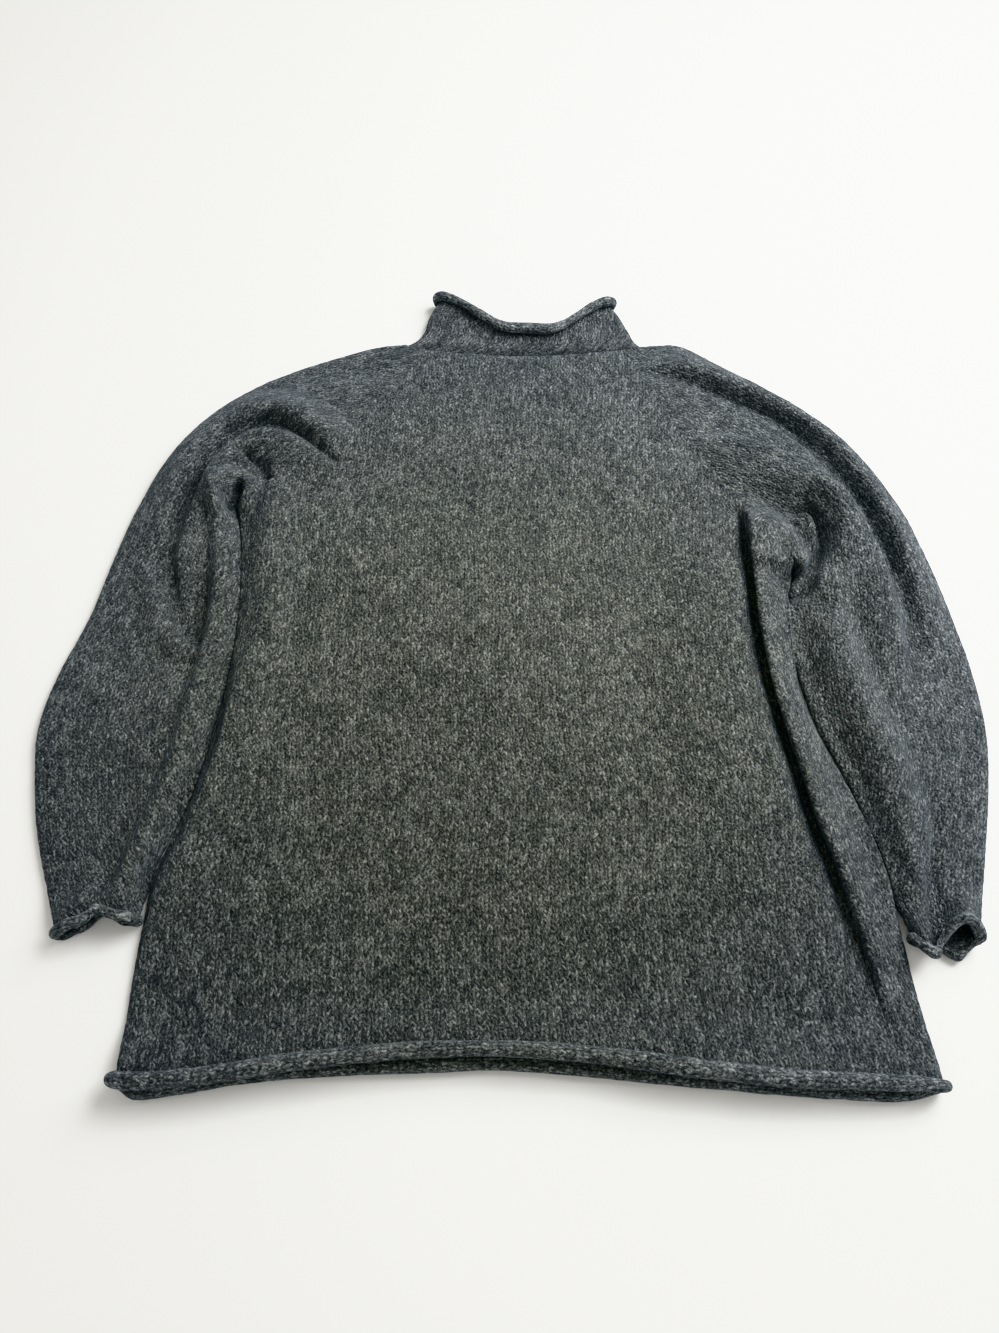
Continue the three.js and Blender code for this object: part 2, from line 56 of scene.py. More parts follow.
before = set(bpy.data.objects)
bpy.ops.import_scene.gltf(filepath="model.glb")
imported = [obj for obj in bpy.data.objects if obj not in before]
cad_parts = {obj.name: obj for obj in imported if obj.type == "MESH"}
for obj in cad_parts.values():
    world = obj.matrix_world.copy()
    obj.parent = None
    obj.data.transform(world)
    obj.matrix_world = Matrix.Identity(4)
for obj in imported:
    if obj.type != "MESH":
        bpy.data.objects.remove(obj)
CAD_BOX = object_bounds()

MM = 0.001
CENTRE = np.array([-9.95, 356.65, 0.0])  # middle of the laid garment, from the middle of the hem

# ---------- sizes of the cloth, in millimetres ----------

WALL = 3.0  # the knitted cloth
SEAM = 0.3  # gap between two pieces that are sewn together
FLOOR_LAYER = WALL / 2  # middle of the lower layer's wall, which rests on the surface
FRONT_LAYER = 6.6  # middle of the upper layer's wall where it lies flat on the lower one
LOWEST_FRONT = FLOOR_LAYER + WALL + 0.8  # the upper layer never sinks closer to the lower one than this
CROSSING = 1.2  # how softly the upper layer rounds into that lowest height
SLEEVE_LOFT = 3.5  # how far the upper layer of a sleeve stands off the lower one
LOFT_ROWS = 3  # rows of SHOULDER, from the neck, over which a sleeve gains that loft
LOFT_POWER = 0.7  # below 1 the loft is full nearly to the sleeve's folds
HEM_PULL = 120.0  # how far up the body its rows still follow the hem's line

# Folded edges: half the width of the soft fold, its steps, and how many rows it takes to turn from a sewn
# edge into a fold at the underarm, on the body (which starts "above" it) and on a sleeve.
FOLD_RADIUS = 6.5
FOLD_STEPS = 9
FOLD_ROWS = {"above": 0.05, "body": 0.2, "sleeve": 0.12}

# Where the two layers of a folded edge meet, as a share of the way up, away from the stretches that MEET
# gives, and the least and the most that it may be. MEET holds up to BESIDE_TO from the middle, then fades.
MEET_SHARE = 0.36
MEET_RANGE = (0.02, 0.9)
BESIDE_TO = 318.0
BESIDE_FADE = 20.0

# A roll: radius where it starts, radius at a side fold, degrees that it turns, how much tighter it gets,
# the stretch of cloth that rises to make room for the roll below it, and the seed of its unevenness.
HEM_ROLL = {"radius": 5.6, "side": 3.6, "turn": 310, "tighten": 1.9, "run": 46, "seed": 31}
CUFF_ROLL = {"radius": 3.9, "side": 1.9, "turn": 290, "tighten": 1.2, "run": 34, "seed": 41}
NECK_ROLL = {"radius": 4.8, "side": 4.4, "turn": 300, "tighten": 1.6, "run": 34, "seed": 51}
LOOSEST = 1.06  # radius of a roll's loosest stitches, over its own
NECK_LIFT = 1.5  # power by which the collar rises from its seam to its roll
NECK_DIPS = (0.42, 0.38)  # shares of the neck's width in which its edge dips from the left and the right

# Unevenness of hand-framed cloth: swells of the upper layer (height, length, seed), swells of a roll (share
# of its radius, length) and the ragged skins (height, length, seed, and the share that the inner skin has).
SWELLS = ((0.7, 95, 3), (0.35, 38, 5))
ROLL_SWELLS = ((0.07, 60), (0.03, 19))
RAGGED = {"height": 0.22, "length": 8.5, "seed": 21, "inside": 0.6}
WAVES = {"number": 14, "shortest": 0.7, "spread": 0.9, "sum": 5}  # the waves that a swell is made of

# One fold's crest leans towards the middle, by LEAN times its height.
LEANING = "right side strip"
LEAN = 0.5

# Rows and columns of each piece's grid, how the body's rows crowd towards the hem (a power) and its columns
# towards the sides (a share), and steps in each stretch of a fold's path and along a side of the body.
GRID = {
    "front": {"across": 172, "below": 148, "above": 84, "roll": 26},
    "back": {"across": 90, "below": 84, "above": 40, "roll": 22},
    "sleeve": {"across": 46, "under": 30, "above": 84, "below": 132, "roll": 20},
    "collar": {"across": 120, "up": 24, "roll": 26},
}
CROWD_TO_HEM = 1.1
CROWD_TO_SIDES = 0.45
PATH_STEPS = 6
SIDE_STEPS = 400

# ---------- sizes and shares of the wool ----------

# Clouds of variation in the wool: size in millimetres, and how much the noise's narrow band is stretched.
CLOUDS = {
    "fleece": (33.33, 2.0),
    "tension": (8.333, 1.0),
    "handle": (3.03, 1.0),
    "lumps": (2.326, 3.0),
    "plies": (1.316, 2.6),
    "fibres": (0.6667, 1.5),
}
STRAY = {"tension": (0.9, 1.2, 0.0), "handle": (0.35, 0.5, 0.0)}  # in stitches and rows
RELIEF = {"lumps": 0.5, "fibres": 0.25}  # beside the strands' own 1
LEG_RISE = 2.0  # rows that a leg climbs in one stitch's width
STRAND_POWER = 0.55  # below 1 a strand is flatter on top and steeper at its edges

# The pale ply's share: how much of it changes from strand to strand and with each cloud, and the bands of
# it over which dark plies turn to the main colour and the main colour turns to flecks.
PLY_BY_STRAND = 0.28
PLY = {"plies": 0.35, "lumps": 0.2, "fleece": 0.12}
DARK_PLIES = (0.1, 0.5)
PALE_PLIES = (0.5, 0.9)

# Light hardly reaches down between the strands: the colour keeps the least share, and gains this share of
# the relief on each side of the knitting. Purl bumps stand more open to the light.
OPEN = {"least": 0.13, "right side": 0.72, "reverse": 1.05}

# Painted light and shade, in metres: the middle of a pool of painted warm light, how far from there it
# starts to turn to painted cool light and is coolest, and the stretch of Y over which painted shade, darkest
# at the hem, fades to the whole colour.
PAINTED_WARM_LIGHT_AT = (-0.02, -0.07, 0.0)
PAINTED_COOL_LIGHT_SPAN = (0.12, 0.44)
PAINTED_HEM_SHADE = {"from": -0.42, "to": 0.06, "least": 0.76}

# ---------- tables ----------


def table(names, *rows):
    """A table with named columns: {name: array}."""
    return {name: np.array(column, dtype=float) for name, column in zip(names.split(), zip(*rows))}


# Sections of the body, from the hem to the neck. From row UNDERARM on they run up the raglan seams.
BODY = table(
    "lx ly rx ry bow",
    (-299, 0, 303, 0, 0),
    (-301, 30, 301, 30, 0),
    (-301, 65, 296, 66, 0),
    (-299, 105, 292, 107, 0),
    (-295, 150, 287, 152, 0),
    (-273, 210, 272, 208, 0),
    (-261, 275, 247.5, 272, 0),
    (-254, 330, 236.5, 325, 0),
    (-253, 390, 236.5, 368, 0),
    (-258, 448, 239.5, 399, 0),
    (-265, 500, 243, 424, 0),
    (-238, 513, 220, 465, 0),
    (-206, 538, 198, 502, 0),
    (-176, 570, 172, 547, 0),
    (-146, 606, 146, 594, -1),
    (-115, 643, 122, 637, -3),
    (-95, 676.7, 106, 677.2, -8),
)
UNDERARM = 10
NECK = len(BODY["lx"]) - 1

# The hem's line on the front and on the back, where its roll starts, and how thick the roll is there.
HEM = table(
    "x front back size",
    (-298, -4, -4.5, 1.1),
    (-288, -5.5, -11, 1.1),
    (-262, -4.5, -9, 1.1),
    (-216, 0.5, -1.5, 1.1),
    (-170, 7.5, 3, 1.1),
    (-110, 13.5, 5.5, 1.04),
    (-70, 16, 6.5, 0.95),
    (-10, 16, 7.5, 0.95),
    (54, 11.5, 3, 1.05),
    (127, 2.5, -3, 1.14),
    (199, -4, -9, 1.1),
    (256, -6.5, -13, 1),
    (280, -7, -13, 0.9),
    (302, -9, -9, 0.72),
)

# Outer fold of each sleeve, from the neck to the underarm, opposite the rows of BODY.
SHOULDER = {
    "left": table(
        "x y",
        (-119, 684),
        (-148, 680),
        (-213, 655),
        (-268, 626),
        (-311, 584),
        (-341, 538),
        (-359, 488),
    ),
    "right": table(
        "x y",
        (123, 681),
        (164, 682),
        (211, 646),
        (262, 605),
        (306, 564),
        (336, 522),
        (356, 483),
    ),
}

# Sections of each sleeve below the underarm: how far up its inner fold lies, and its outer fold.
ARM = {
    "left": table(
        "iy ox oy",
        (466, -368, 455),
        (427, -376, 417),
        (380, -386, 370),
        (325, -402, 322),
        (275, -411, 272),
        (222, -406, 228),
        (176, -396, 183),
        (140, -381, 141),
        (110, -363, 102),
    ),
    "right": table(
        "iy ox oy",
        (402, 365, 450),
        (370, 374, 415),
        (328, 383, 368),
        (280, 390, 317),
        (226, 391, 266),
        (184, 382, 213),
        (152, 371, 168),
        (126, 360, 128),
        (98, 348, 98),
    ),
}

# How far up the cloth the two layers of a side's folded edge meet, where the sleeve lies against the body:
# a small share leaves a deep gap between them, and a large one hardly a line. "room" is how much further
# from the body the sleeve lies.
MEET = {
    "left": table(
        "y share room",
        (90, 0.3, -0.4),
        (118, 0.1, -0.4),
        (130, 0.05, 0.3),
        (162, 0.05, 0.9),
        (182, 0.3, 0.8),
        (235, 0.4, 0.6),
        (255, 0.1, 0.6),
        (290, 0.08, 0.6),
        (312, 0.35, 0.2),
        (400, 0.45, -0.2),
        (480, 0.35, -0.4),
        (493, 0.05, 1),
        (506, 0.02, 1.4),
        (520, 0.36, -0.4),
    ),
    "right": table(
        "y share room",
        (90, 0.15, 0),
        (120, 0.3, -0.2),
        (140, 0.75, -0.4),
        (180, 0.75, -0.4),
        (200, 0.3, 0),
        (218, 0.1, 1),
        (310, 0.05, 1.2),
        (330, 0.4, 0.2),
        (345, 0.8, -0.4),
        (384, 0.8, -0.4),
        (396, 0.1, 0.6),
        (420, 0.05, 1.4),
        (435, 0.3, -0.2),
        (450, 0.36, -0.4),
    ),
}

CUFF_ROOM = {"left": 1.6, "right": 4.2}  # how much further still the cuff's edge lies

# Waves of the cuffs' edges: "at" runs across a layer from the inner fold to the outer one, "reach" is how
# far the edge stands out along the arm, and "rise" how far it lifts. They fade over WAVE_RUNS times the
# roll's run.
WAVE_RUNS = 1.6
CUFF_WAVES = {
    "left": {
        "upper": table("at reach rise", (0, 0, 0), (0.4, -10, 2), (0.7, -3, 3), (1, 3, 0)),
        "lower": table("at reach rise", (0, 0, 0), (0.2, -3, 0), (0.43, -12, 0), (0.75, -2, 0), (1, 3, 0)),
    },
    "right": {
        "upper": table("at reach rise", (0, 0, 0), (0.25, 14, 0), (0.68, -10, 11), (1, 2, 2)),
        "lower": table("at reach rise", (0, 2, 0), (0.4, 6, 0), (0.75, 14, 0), (1, 2, 0)),
    },
}

# Sections of the collar from its seam to the edge that rolls.
COLLAR = table(
    "lx ly rx ry bow back_bow rise",
    (-120, 681, 123, 681, -11, -11, 0),
    (-106, 687, 116, 688, -15, -15, 1),
    (-97, 698, 110, 700, -20, -21, 1),
    (-92, 716, 102, 715, -27, -30, 1),
    (-82, 734.5, 93, 728, -36, -41, 1),
)


def fold_table(height, port, starboard, *path):
    """A fold of the upper layer: its height above the flat cloth (a trough's is below it), its half widths
    to port and to starboard of its path, and the path's points, each with the share of the height there."""
    return {"height": height, "port": port, "starboard": starboard, "path": table("x y share", *path)}


# Folds of the upper layer: height, port and starboard, then the points of the path (x, y, share).
FOLDS = {
    # the right side, pushed in by the sleeve
    "body beside the right trough": fold_table(
        10, 22, 90,
        (180, 486, 0), (184, 449, 0.7), (186, 415, 1), (186, 374, 1), (188, 334, 1), (193, 296, 1),
        (199, 261, 1), (206, 228, 1), (211, 198, 1), (216, 175, 0.9), (224, 145, 0.7), (234, 90, 0.3),
        (242, 50, 0),
    ),
    "right trough": fold_table(
        -14, 6, 8,
        (200, 488, 0), (203, 468, 0.8), (205, 449, 1), (207, 415, 1), (207, 374, 1), (209.5, 334, 1),
        (214, 296, 1), (220, 261, 1), (227, 228, 1), (232, 198, 1), (237, 177, 1), (243, 155, 0.9),
        (249.5, 120, 0.7), (255.5, 85, 0.5), (261.5, 40, 0),
    ),
    "right side strip": fold_table(
        18, 25, 3.5,
        (209, 482, 0), (212.5, 452, 0.8), (215, 415, 1), (215, 374, 1), (217.5, 334, 1), (222, 296, 1),
        (228, 261, 1), (235, 228, 1), (240.5, 198, 1), (246, 177, 1), (252, 155, 0.9), (259, 120, 0.7),
        (266, 80, 0.4), (274, 25, 0),
    ),
    # the right sleeve
    "right sleeve, outer puff": fold_table(
        14, 26, 11,
        (120, 660, 0), (165, 648, 0.6), (206, 626, 0.9), (246, 602, 1), (276, 578, 1), (302, 546, 1),
        (322, 508, 1), (338, 463, 1), (348, 420, 0.8), (355, 370, 0.4), (358, 320, 0),
    ),
    "right sleeve, long trough": fold_table(
        -11, 6, 8,
        (120, 647, 0), (160, 635, 0.5), (200, 615, 0.8), (239, 592, 1), (267, 567, 1), (291, 537, 1),
        (310, 502, 1), (325, 462, 1), (333, 432, 0.9), (338, 402, 0.6), (341, 370, 0.3), (342, 330, 0),
    ),
    "right sleeve, ridge": fold_table(
        20, 12, 60,
        (160, 560, 0), (190, 560, 0.4), (225, 547, 0.8), (254, 527, 1), (277, 505, 1), (295, 478, 1),
        (308, 450, 1), (316, 425, 1), (320, 395, 0.95), (323, 360, 0.7), (322, 325, 0.35), (318, 285, 0),
    ),
    "right pouch": fold_table(
        17, 20, 40,
        (192, 500, 0), (208, 484, 0.5), (226, 466, 0.9), (237, 450, 1), (243, 436, 1), (246, 424, 1),
        (245, 412, 0),
    ),
    "right pocket": fold_table(
        -30, 7, 6.5,
        (244, 478, 0), (255, 481, 0.5), (265, 479, 0.9), (271, 468, 1), (272.5, 451, 1), (268, 435, 1),
        (260, 421, 1), (252, 410, 1), (246, 400, 1), (243, 390, 0),
    ),
    "right pocket's mouth": fold_table(
        -30, 7, 8,
        (238, 408, 0.5), (243, 402, 1), (249, 397, 1), (254, 400, 1), (257, 408, 0.9),
    ),
    "right lip over the pocket": fold_table(
        10, 30, 10,
        (236, 496, 0), (252, 499, 0.6), (270, 498, 1), (283, 487, 1), (289, 470, 1), (288, 450, 1),
        (282, 431, 1), (273, 415, 1), (265, 401, 0.8), (257, 389, 0),
    ),
    "right forearm": fold_table(
        14, 28, 26,
        (264, 396, 0.4), (272, 350, 0.9), (279, 305, 1), (291, 262, 1), (302, 215, 0.9), (309, 170, 0.5),
        (312, 120, 0),
    ),
    "right gap": fold_table(
        -10, 14, 6,
        (238, 345, 0), (240, 326, 0.7), (242, 300, 1), (249, 275, 1), (259, 250, 1), (270, 222, 1),
        (279, 197, 0.5), (286, 170, 0),
    ),
    "right forearm's hollow": fold_table(
        -4, 18, 18,
        (292, 400, 0.4), (292, 360, 1), (298, 320, 0.6), (306, 290, 0),
    ),
    "right wrist, inner": fold_table(
        4, 10, 12,
        (300, 190, 0), (305, 160, 1), (305, 125, 1), (306, 95, 0.6),
    ),
    "right wrist, crease": fold_table(
        -5, 10, 9,
        (330, 215, 0), (326, 175, 0.7), (320, 140, 1), (317, 100, 0.8),
    ),
    # the left sleeve
    "left sleeve, outer puff": fold_table(
        14, 11, 34,
        (-166, 543, 0), (-181, 558, 0.5), (-197, 573, 0.85), (-215, 586, 1), (-236, 594, 1),
        (-258, 591, 1), (-281, 578, 1), (-301, 555, 1), (-316, 522, 0.9), (-329, 480, 0.6),
        (-341, 425, 0.3), (-351, 360, 0),
    ),
    "left sleeve, short trough": fold_table(
        -12, 7, 6,
        (-172, 533, 0), (-187, 549, 0.7), (-202, 563, 1), (-218, 575, 1), (-238, 582, 1), (-258, 578, 1),
        (-276, 566, 1), (-291, 547, 1), (-303, 522, 0.8), (-312, 494, 0.5), (-318, 465, 0.2),
        (-321, 440, 0),
    ),
    "left sleeve, ridge": fold_table(
        14, 34, 10,
        (-224, 560, 0), (-240, 564, 0.4), (-254, 562, 0.85), (-266, 555, 1), (-279, 541, 1),
        (-290, 519, 1), (-297, 491, 0.95), (-302, 466, 0.85), (-307, 440, 0.7), (-308, 415, 0.45),
        (-306, 385, 0),
    ),
    "left side of the armhole": fold_table(
        14, 66, 9,
        (-176, 532, 0), (-193, 543, 0.6), (-210, 555, 0.9), (-226, 562, 1), (-240, 563, 0.75),
        (-252, 560, 0.3), (-260, 557, 0),
    ),
    "left crease": fold_table(
        -16, 6, 5,
        (-265, 547, 0), (-259, 542, 0.8), (-252, 536, 1), (-245, 529, 1), (-239, 521, 0.7),
        (-235, 514, 0),
    ),
    "left pocket": fold_table(
        -28, 6, 6,
        (-261, 513, 0), (-265, 507, 0.9), (-269, 501, 1), (-272, 495, 1), (-273, 486, 0.5),
        (-271, 475, 0),
    ),
    "left lip beside the pocket": fold_table(
        12, 14, 7,
        (-273, 473, 0), (-281, 483, 0.7), (-282, 495, 1), (-276, 507, 1), (-265, 514, 1), (-256, 507, 1),
        (-256, 496, 1), (-260, 486, 0.7), (-262, 475, 0),
    ),
    "left inner strip": fold_table(
        13, 14, 14,
        (-287, 538, 0), (-284, 512, 0.5), (-279, 490, 0.8), (-273, 450, 1), (-269, 400, 1),
        (-270, 350, 1), (-276, 300, 1), (-283, 250, 0.8), (-295, 200, 0.6), (-307, 160, 0.8),
        (-315, 128, 0.7), (-319, 104, 0),
    ),
    "left elbow's dent, outer": fold_table(
        -12, 9, 7,
        (-321, 456, 0), (-318, 436, 0.3), (-314.5, 414, 0.8), (-311, 396, 1), (-307, 380, 1),
        (-300, 364, 1), (-292, 353, 1), (-285, 348, 0.7),
    ),
    "left elbow's dent, inner": fold_table(
        -11, 7, 12,
        (-287, 424, 0), (-285, 406, 0.4), (-283, 390, 1), (-283, 374, 1), (-285, 358, 1),
        (-287, 350, 0.8),
    ),
    "left elbow's lip": fold_table(
        9, 9, 26,
        (-330, 430, 0), (-324, 400, 0.7), (-319, 380, 1), (-309, 358, 1), (-295, 344, 1),
        (-283, 338, 0.6), (-276, 328, 0),
    ),
    "left forearm": fold_table(
        5, 34, 34,
        (-300, 345, 0), (-302, 300, 0.8), (-304, 250, 1), (-309, 200, 1), (-316, 150, 0.7),
        (-322, 110, 0),
    ),
    "left wrist, ridge": fold_table(
        4, 16, 16,
        (-330, 220, 0), (-335, 180, 0.7), (-338, 140, 1), (-345, 115, 1),
    ),
    # the yoke and the middle
    "left yoke": fold_table(
        -3, 14, 14,
        (-215, 641, 0), (-180, 643, 1), (-150, 648, 1), (-115, 655, 0),
    ),
    "left chest": fold_table(
        -3, 34, 28,
        (-150, 440, 0), (-178, 380, 1), (-205, 330, 1), (-225, 270, 0.6), (-238, 200, 0),
    ),
    "left side of the body": fold_table(
        12, 36, 27,
        (-226, 530, 0), (-230, 500, 0.7), (-229, 460, 1), (-227, 400, 1), (-230, 345, 0.9),
        (-242, 285, 0.9), (-247, 250, 0.8), (-259, 200, 0.7), (-272, 150, 0.9), (-280, 110, 0.4),
        (-284, 70, 0),
    ),
    "left gap": fold_table(
        -10, 11, 8,
        (-253, 335, 0), (-255, 302, 0.6), (-259, 279, 1), (-264, 245, 0.8), (-270, 222, 0.5),
        (-277, 197, 0.5), (-284, 176, 0.8), (-293, 158, 1), (-299, 142, 1), (-302, 120, 0.8),
        (-303, 100, 0),
    ),
    "waist": fold_table(
        4, 120, 150,
        (-150, 330, 0), (-60, 360, 1), (60, 360, 1), (140, 330, 0),
    ),
    "collar's seam": fold_table(
        -2, 6, 6,
        (-119, 684, 0.5), (-95, 677, 1), (-50, 671, 1), (5, 669, 1), (60, 671, 1), (106, 677, 1),
        (123, 681, 0.5),
    ),
}

# ---------- curves and noise ----------


def mix(a, b, t):
    """a at t 0 and b at t 1."""
    return a + (b - a) * t


def ease(t):
    """3t² - 2t³, held at 0 below 0 and at 1 above 1."""
    t = np.clip(t, 0, 1)
    return t * t * (3 - 2 * t)


def spline(values, at):
    """A column of a table at fractional rows, on a Catmull-Rom curve through its rows."""
    at = np.asarray(at, dtype=float)
    last = len(values) - 1
    row = np.clip(np.floor(at).astype(int), 0, last - 1)
    t = at - row
    a, b, c, d = (values[np.clip(row + k, 0, last)] for k in (-1, 0, 1, 2))
    return b + 0.5 * t * (c - a + t * (2 * a - 5 * b + 4 * c - d + t * (3 * (b - c) + d - a)))


def row_where(column, value):
    """The fractional row at which a rising or falling column reaches a value."""
    rows = np.arange(len(column))
    if column[-1] > column[0]:
        return np.interp(value, column, rows)
    return np.interp(value, column[::-1], rows[::-1])


def wave_at(knots, name, at):
    """A wave table's column across a layer, eased from knot to knot."""
    last = len(knots["at"]) - 1
    row = np.clip(row_where(knots["at"], at), 0, last)
    low = np.minimum(np.floor(row).astype(int), last - 1)
    return mix(knots[name][low], knots[name][low + 1], ease(row - low))


def arch_at(at):
    """A parabola that is 0 at both ends and 1 in the middle."""
    return 4 * at * (1 - at)


def neck_dip_at(at):
    """How the neck's loose edge dips: down from both ends to a stretch that is nearly level."""
    left, right = NECK_DIPS
    return ease(at / left) * ease((1 - at) / right)


def waves(x, y, length, seed):
    """Smooth noise from about -1 to 1: a sum of plane waves in fixed random directions, each about one
    length long, over the size that such a sum reaches."""
    rng = np.random.default_rng(seed)
    total = np.zeros(np.broadcast(x, y).shape)
    for turn, phase, stretch in rng.uniform(0, 1, (WAVES["number"], 3)):
        k = 2 * np.pi / (length * (WAVES["shortest"] + WAVES["spread"] * stretch))
        angle = 2 * np.pi * turn
        total += np.sin(k * (x * np.cos(angle) + y * np.sin(angle)) + 2 * np.pi * phase)
    return total / WAVES["sum"]


# ---------- heights of the cloth ----------


def fold_height(fold, x, y):
    """A fold's height: its own times (1 - q²)², q being the distance from its path over the half width on
    that side, and times the share reached at the nearest point of the path."""
    steps = len(fold["path"]["x"]) - 1
    fine = np.linspace(0, steps, PATH_STEPS * steps + 1)
    px, py, share = (spline(column, fine) for column in fold["path"].values())
    widest = max(fold["port"], fold["starboard"])
    near = (x > px.min() - widest) & (x < px.max() + widest)
    near &= (y > py.min() - widest) & (y < py.max() + widest)
    nx, ny = x[near], y[near]
    best = np.full(nx.shape, np.inf)
    reached, to_port = np.zeros(nx.shape), np.zeros(nx.shape, dtype=bool)
    for i in range(len(px) - 1):
        dx, dy = px[i + 1] - px[i], py[i + 1] - py[i]
        t = np.clip(((nx - px[i]) * dx + (ny - py[i]) * dy) / (dx * dx + dy * dy), 0, 1)
        away = np.hypot(nx - px[i] - t * dx, ny - py[i] - t * dy)
        closer = away < best
        best = np.where(closer, away, best)
        reached = np.where(closer, mix(share[i], share[i + 1], t), reached)
        to_port = np.where(closer, dx * (ny - py[i]) - dy * (nx - px[i]) > 0, to_port)
    q = np.clip(best / np.where(to_port, fold["port"], fold["starboard"]), 0, 1)
    total = np.zeros(x.shape)
    total[near] = fold["height"] * np.clip(reached, 0, 1) * (1 - q * q) ** 2
    return total


def upper_height(x, y, loft=0.0):
    """Middle of the upper layer's wall: a, the flat cloth with its folds, swells and a sleeve's loft, kept
    above b, the lowest that it may lie. They are rounded together: (a + b + √((a - b)² + c²)) / 2."""
    folds = sum(fold_height(fold, x, y) for fold in FOLDS.values())
    swells = sum(height * waves(x, y, length, seed) for height, length, seed in SWELLS)
    free = FRONT_LAYER + folds + loft + swells
    low = LOWEST_FRONT + loft / 2
    return (free + low + np.hypot(free - low, CROSSING)) / 2


def lean(points, share):
    """Leans one fold over the trough beside it: X goes down by LEAN times the fold's height, times the share
    of the full height that a point has."""
    points[..., 0] -= LEAN * share * fold_height(FOLDS[LEANING], points[..., 0], points[..., 1])


def meet_height(x, y):
    """Where the two layers of a folded edge meet: the share of the way up that MEET gives beside a sleeve,
    and MEET_SHARE elsewhere."""
    at_row = {side: row_where(MEET[side]["y"], y) for side in MEET}
    left, right = (spline(MEET[side]["share"], at_row[side]) for side in ("left", "right"))
    share = np.clip(np.where(x < 0, left, right), *MEET_RANGE)
    beside = 1 - ease((np.abs(x) - BESIDE_TO) / BESIDE_FADE)
    return mix(FLOOR_LAYER, upper_height(x, y), mix(MEET_SHARE, share, beside))


def roll_height(roll):
    """Height of the roll that lies under a lifted edge, with room for its loosest stitches."""
    return 2 * LOOSEST * roll["radius"] - roll["tighten"] * (180 / roll["turn"])


def roll_lift(roll, away):
    """How far the cloth is lifted at a distance from the edge that rolls."""
    return roll_height(roll) * (1 - ease(away / roll["run"]))


def hem_line(x, panel):
    """The hem's line on the front or the back."""
    return spline(HEM[panel], row_where(HEM["x"], x))


def hem_size(x):
    """How thick the hem's roll is there."""
    return spline(HEM["size"], row_where(HEM["x"], x))


def hem_pull(y):
    """How much of the hem's line a row at height y still follows."""
    return 1 - ease(y / HEM_PULL)


# ---------- grids ----------


def layer(a, b, fold_a, fold_b, across, height, meet_a, meet_b, bow=None, lift=0.0, crowd=0.0):
    """One layer of a stack of sections, from edge a to edge b, each (sections, 2).

    Across the middle the points follow height(x, y, at). Each folded edge is a quarter of an ellipse from
    there to the height where the two layers meet, no wider than a sixth of the layer, and a sewn edge
    (fold 0) stays at its full height. The columns crowd towards both edges: t - crowd sin 2πt / 2π.
    Returns the points (sections, columns, 3), how far across they lie, and how flat they lie."""
    way = b - a
    width = np.hypot(way[:, 0], way[:, 1])[:, None]
    way = way / width
    inset_a = mix(SEAM / 2, WALL / 2, fold_a)[:, None]
    inset_b = mix(SEAM / 2, WALL / 2, fold_b)[:, None]
    radius = np.minimum(FOLD_RADIUS, width / 6)
    turn = np.linspace(0, np.pi / 2, FOLD_STEPS + 1)[None, :]
    t = np.linspace(0, 1, across + 1)[1:-1][None, :]
    t = t - crowd * np.sin(2 * np.pi * t) / (2 * np.pi)
    edge = radius * (1 - np.cos(turn))
    middle = mix(inset_a + radius, width - inset_b - radius, t)
    d = np.concatenate([inset_a + edge, middle, (width - inset_b - edge)[:, ::-1]], axis=1)
    share_a = mix(1, np.sin(turn), fold_a[:, None])
    share_b = mix(1, np.sin(turn), fold_b[:, None])[:, ::-1]
    share = np.concatenate([share_a, np.ones((len(a), t.shape[1])), share_b], axis=1)
    at = d / width
    x = a[:, :1] + way[:, :1] * d
    y = a[:, 1:] + way[:, 1:] * d
    if bow is not None:
        y = y + bow(at, x)
    meet = np.where(at < 0.5, meet_a[:, None], meet_b[:, None])
    lift = np.broadcast_to(np.asarray(lift, dtype=float).reshape(-1, 1), x.shape)
    full = height(x, y, at)
    z = mix(meet, full, share) + lift
    return np.stack([x, y, z], axis=2), at, share


def normals(points, closed=False):
    """Unit normals of a grid: the cross product of its steps across and along, both central differences."""
    if closed:
        across = np.roll(points, -1, axis=1) - np.roll(points, 1, axis=1)
    else:
        across = np.gradient(points, axis=1)
    along = np.gradient(points, axis=0)
    n = np.cross(across, along)
    return n / np.maximum(np.linalg.norm(n, axis=2, keepdims=True), 1e-9)


def arcs(points, axis):
    """Distance along the grid's lines from their first point."""
    steps = np.linalg.norm(np.diff(points, axis=axis), axis=2)
    start = np.zeros_like(np.take(steps, [0], axis=axis))
    return np.concatenate([start, np.cumsum(steps, axis=axis)], axis=axis)


def roll_rows(edge, n, share, roll, outwards, steps, size=1.0):
    """Rows of a roll beyond an edge, nearest first: each point turns about a centre above the cloth, on a
    radius that tightens as it goes, "size" times the roll's own. Returns points and normals
    (steps, columns, 3) and the length rolled."""
    run = np.concatenate([[0], np.cumsum(np.linalg.norm(np.diff(edge, axis=0), axis=1))])
    loose = np.ones(len(run))
    for i, (part, length) in enumerate(ROLL_SWELLS):
        loose += part * waves(run, 0 * run, length, roll["seed"] + i)
    start = (mix(roll["side"], roll["radius"], share) * loose * size)[None, :, None]
    whole_turn = math.radians(roll["turn"])
    turn = (np.arange(1, steps + 1) / steps * whole_turn)[:, None, None]
    radius = start * (1 - roll["tighten"] / roll["radius"] * turn / whole_turn)
    reach = outwards - n * (n @ outwards)[:, None]
    reach = reach / np.linalg.norm(reach, axis=1, keepdims=True)
    points = edge + n * (start - radius * np.cos(turn)) + reach * radius * np.sin(turn)
    facing = n * np.cos(turn) - reach * np.sin(turn)
    rolled = np.cumsum(radius.mean(axis=1) * whole_turn / steps, axis=0)
    return points, facing, np.tile(rolled, len(edge))


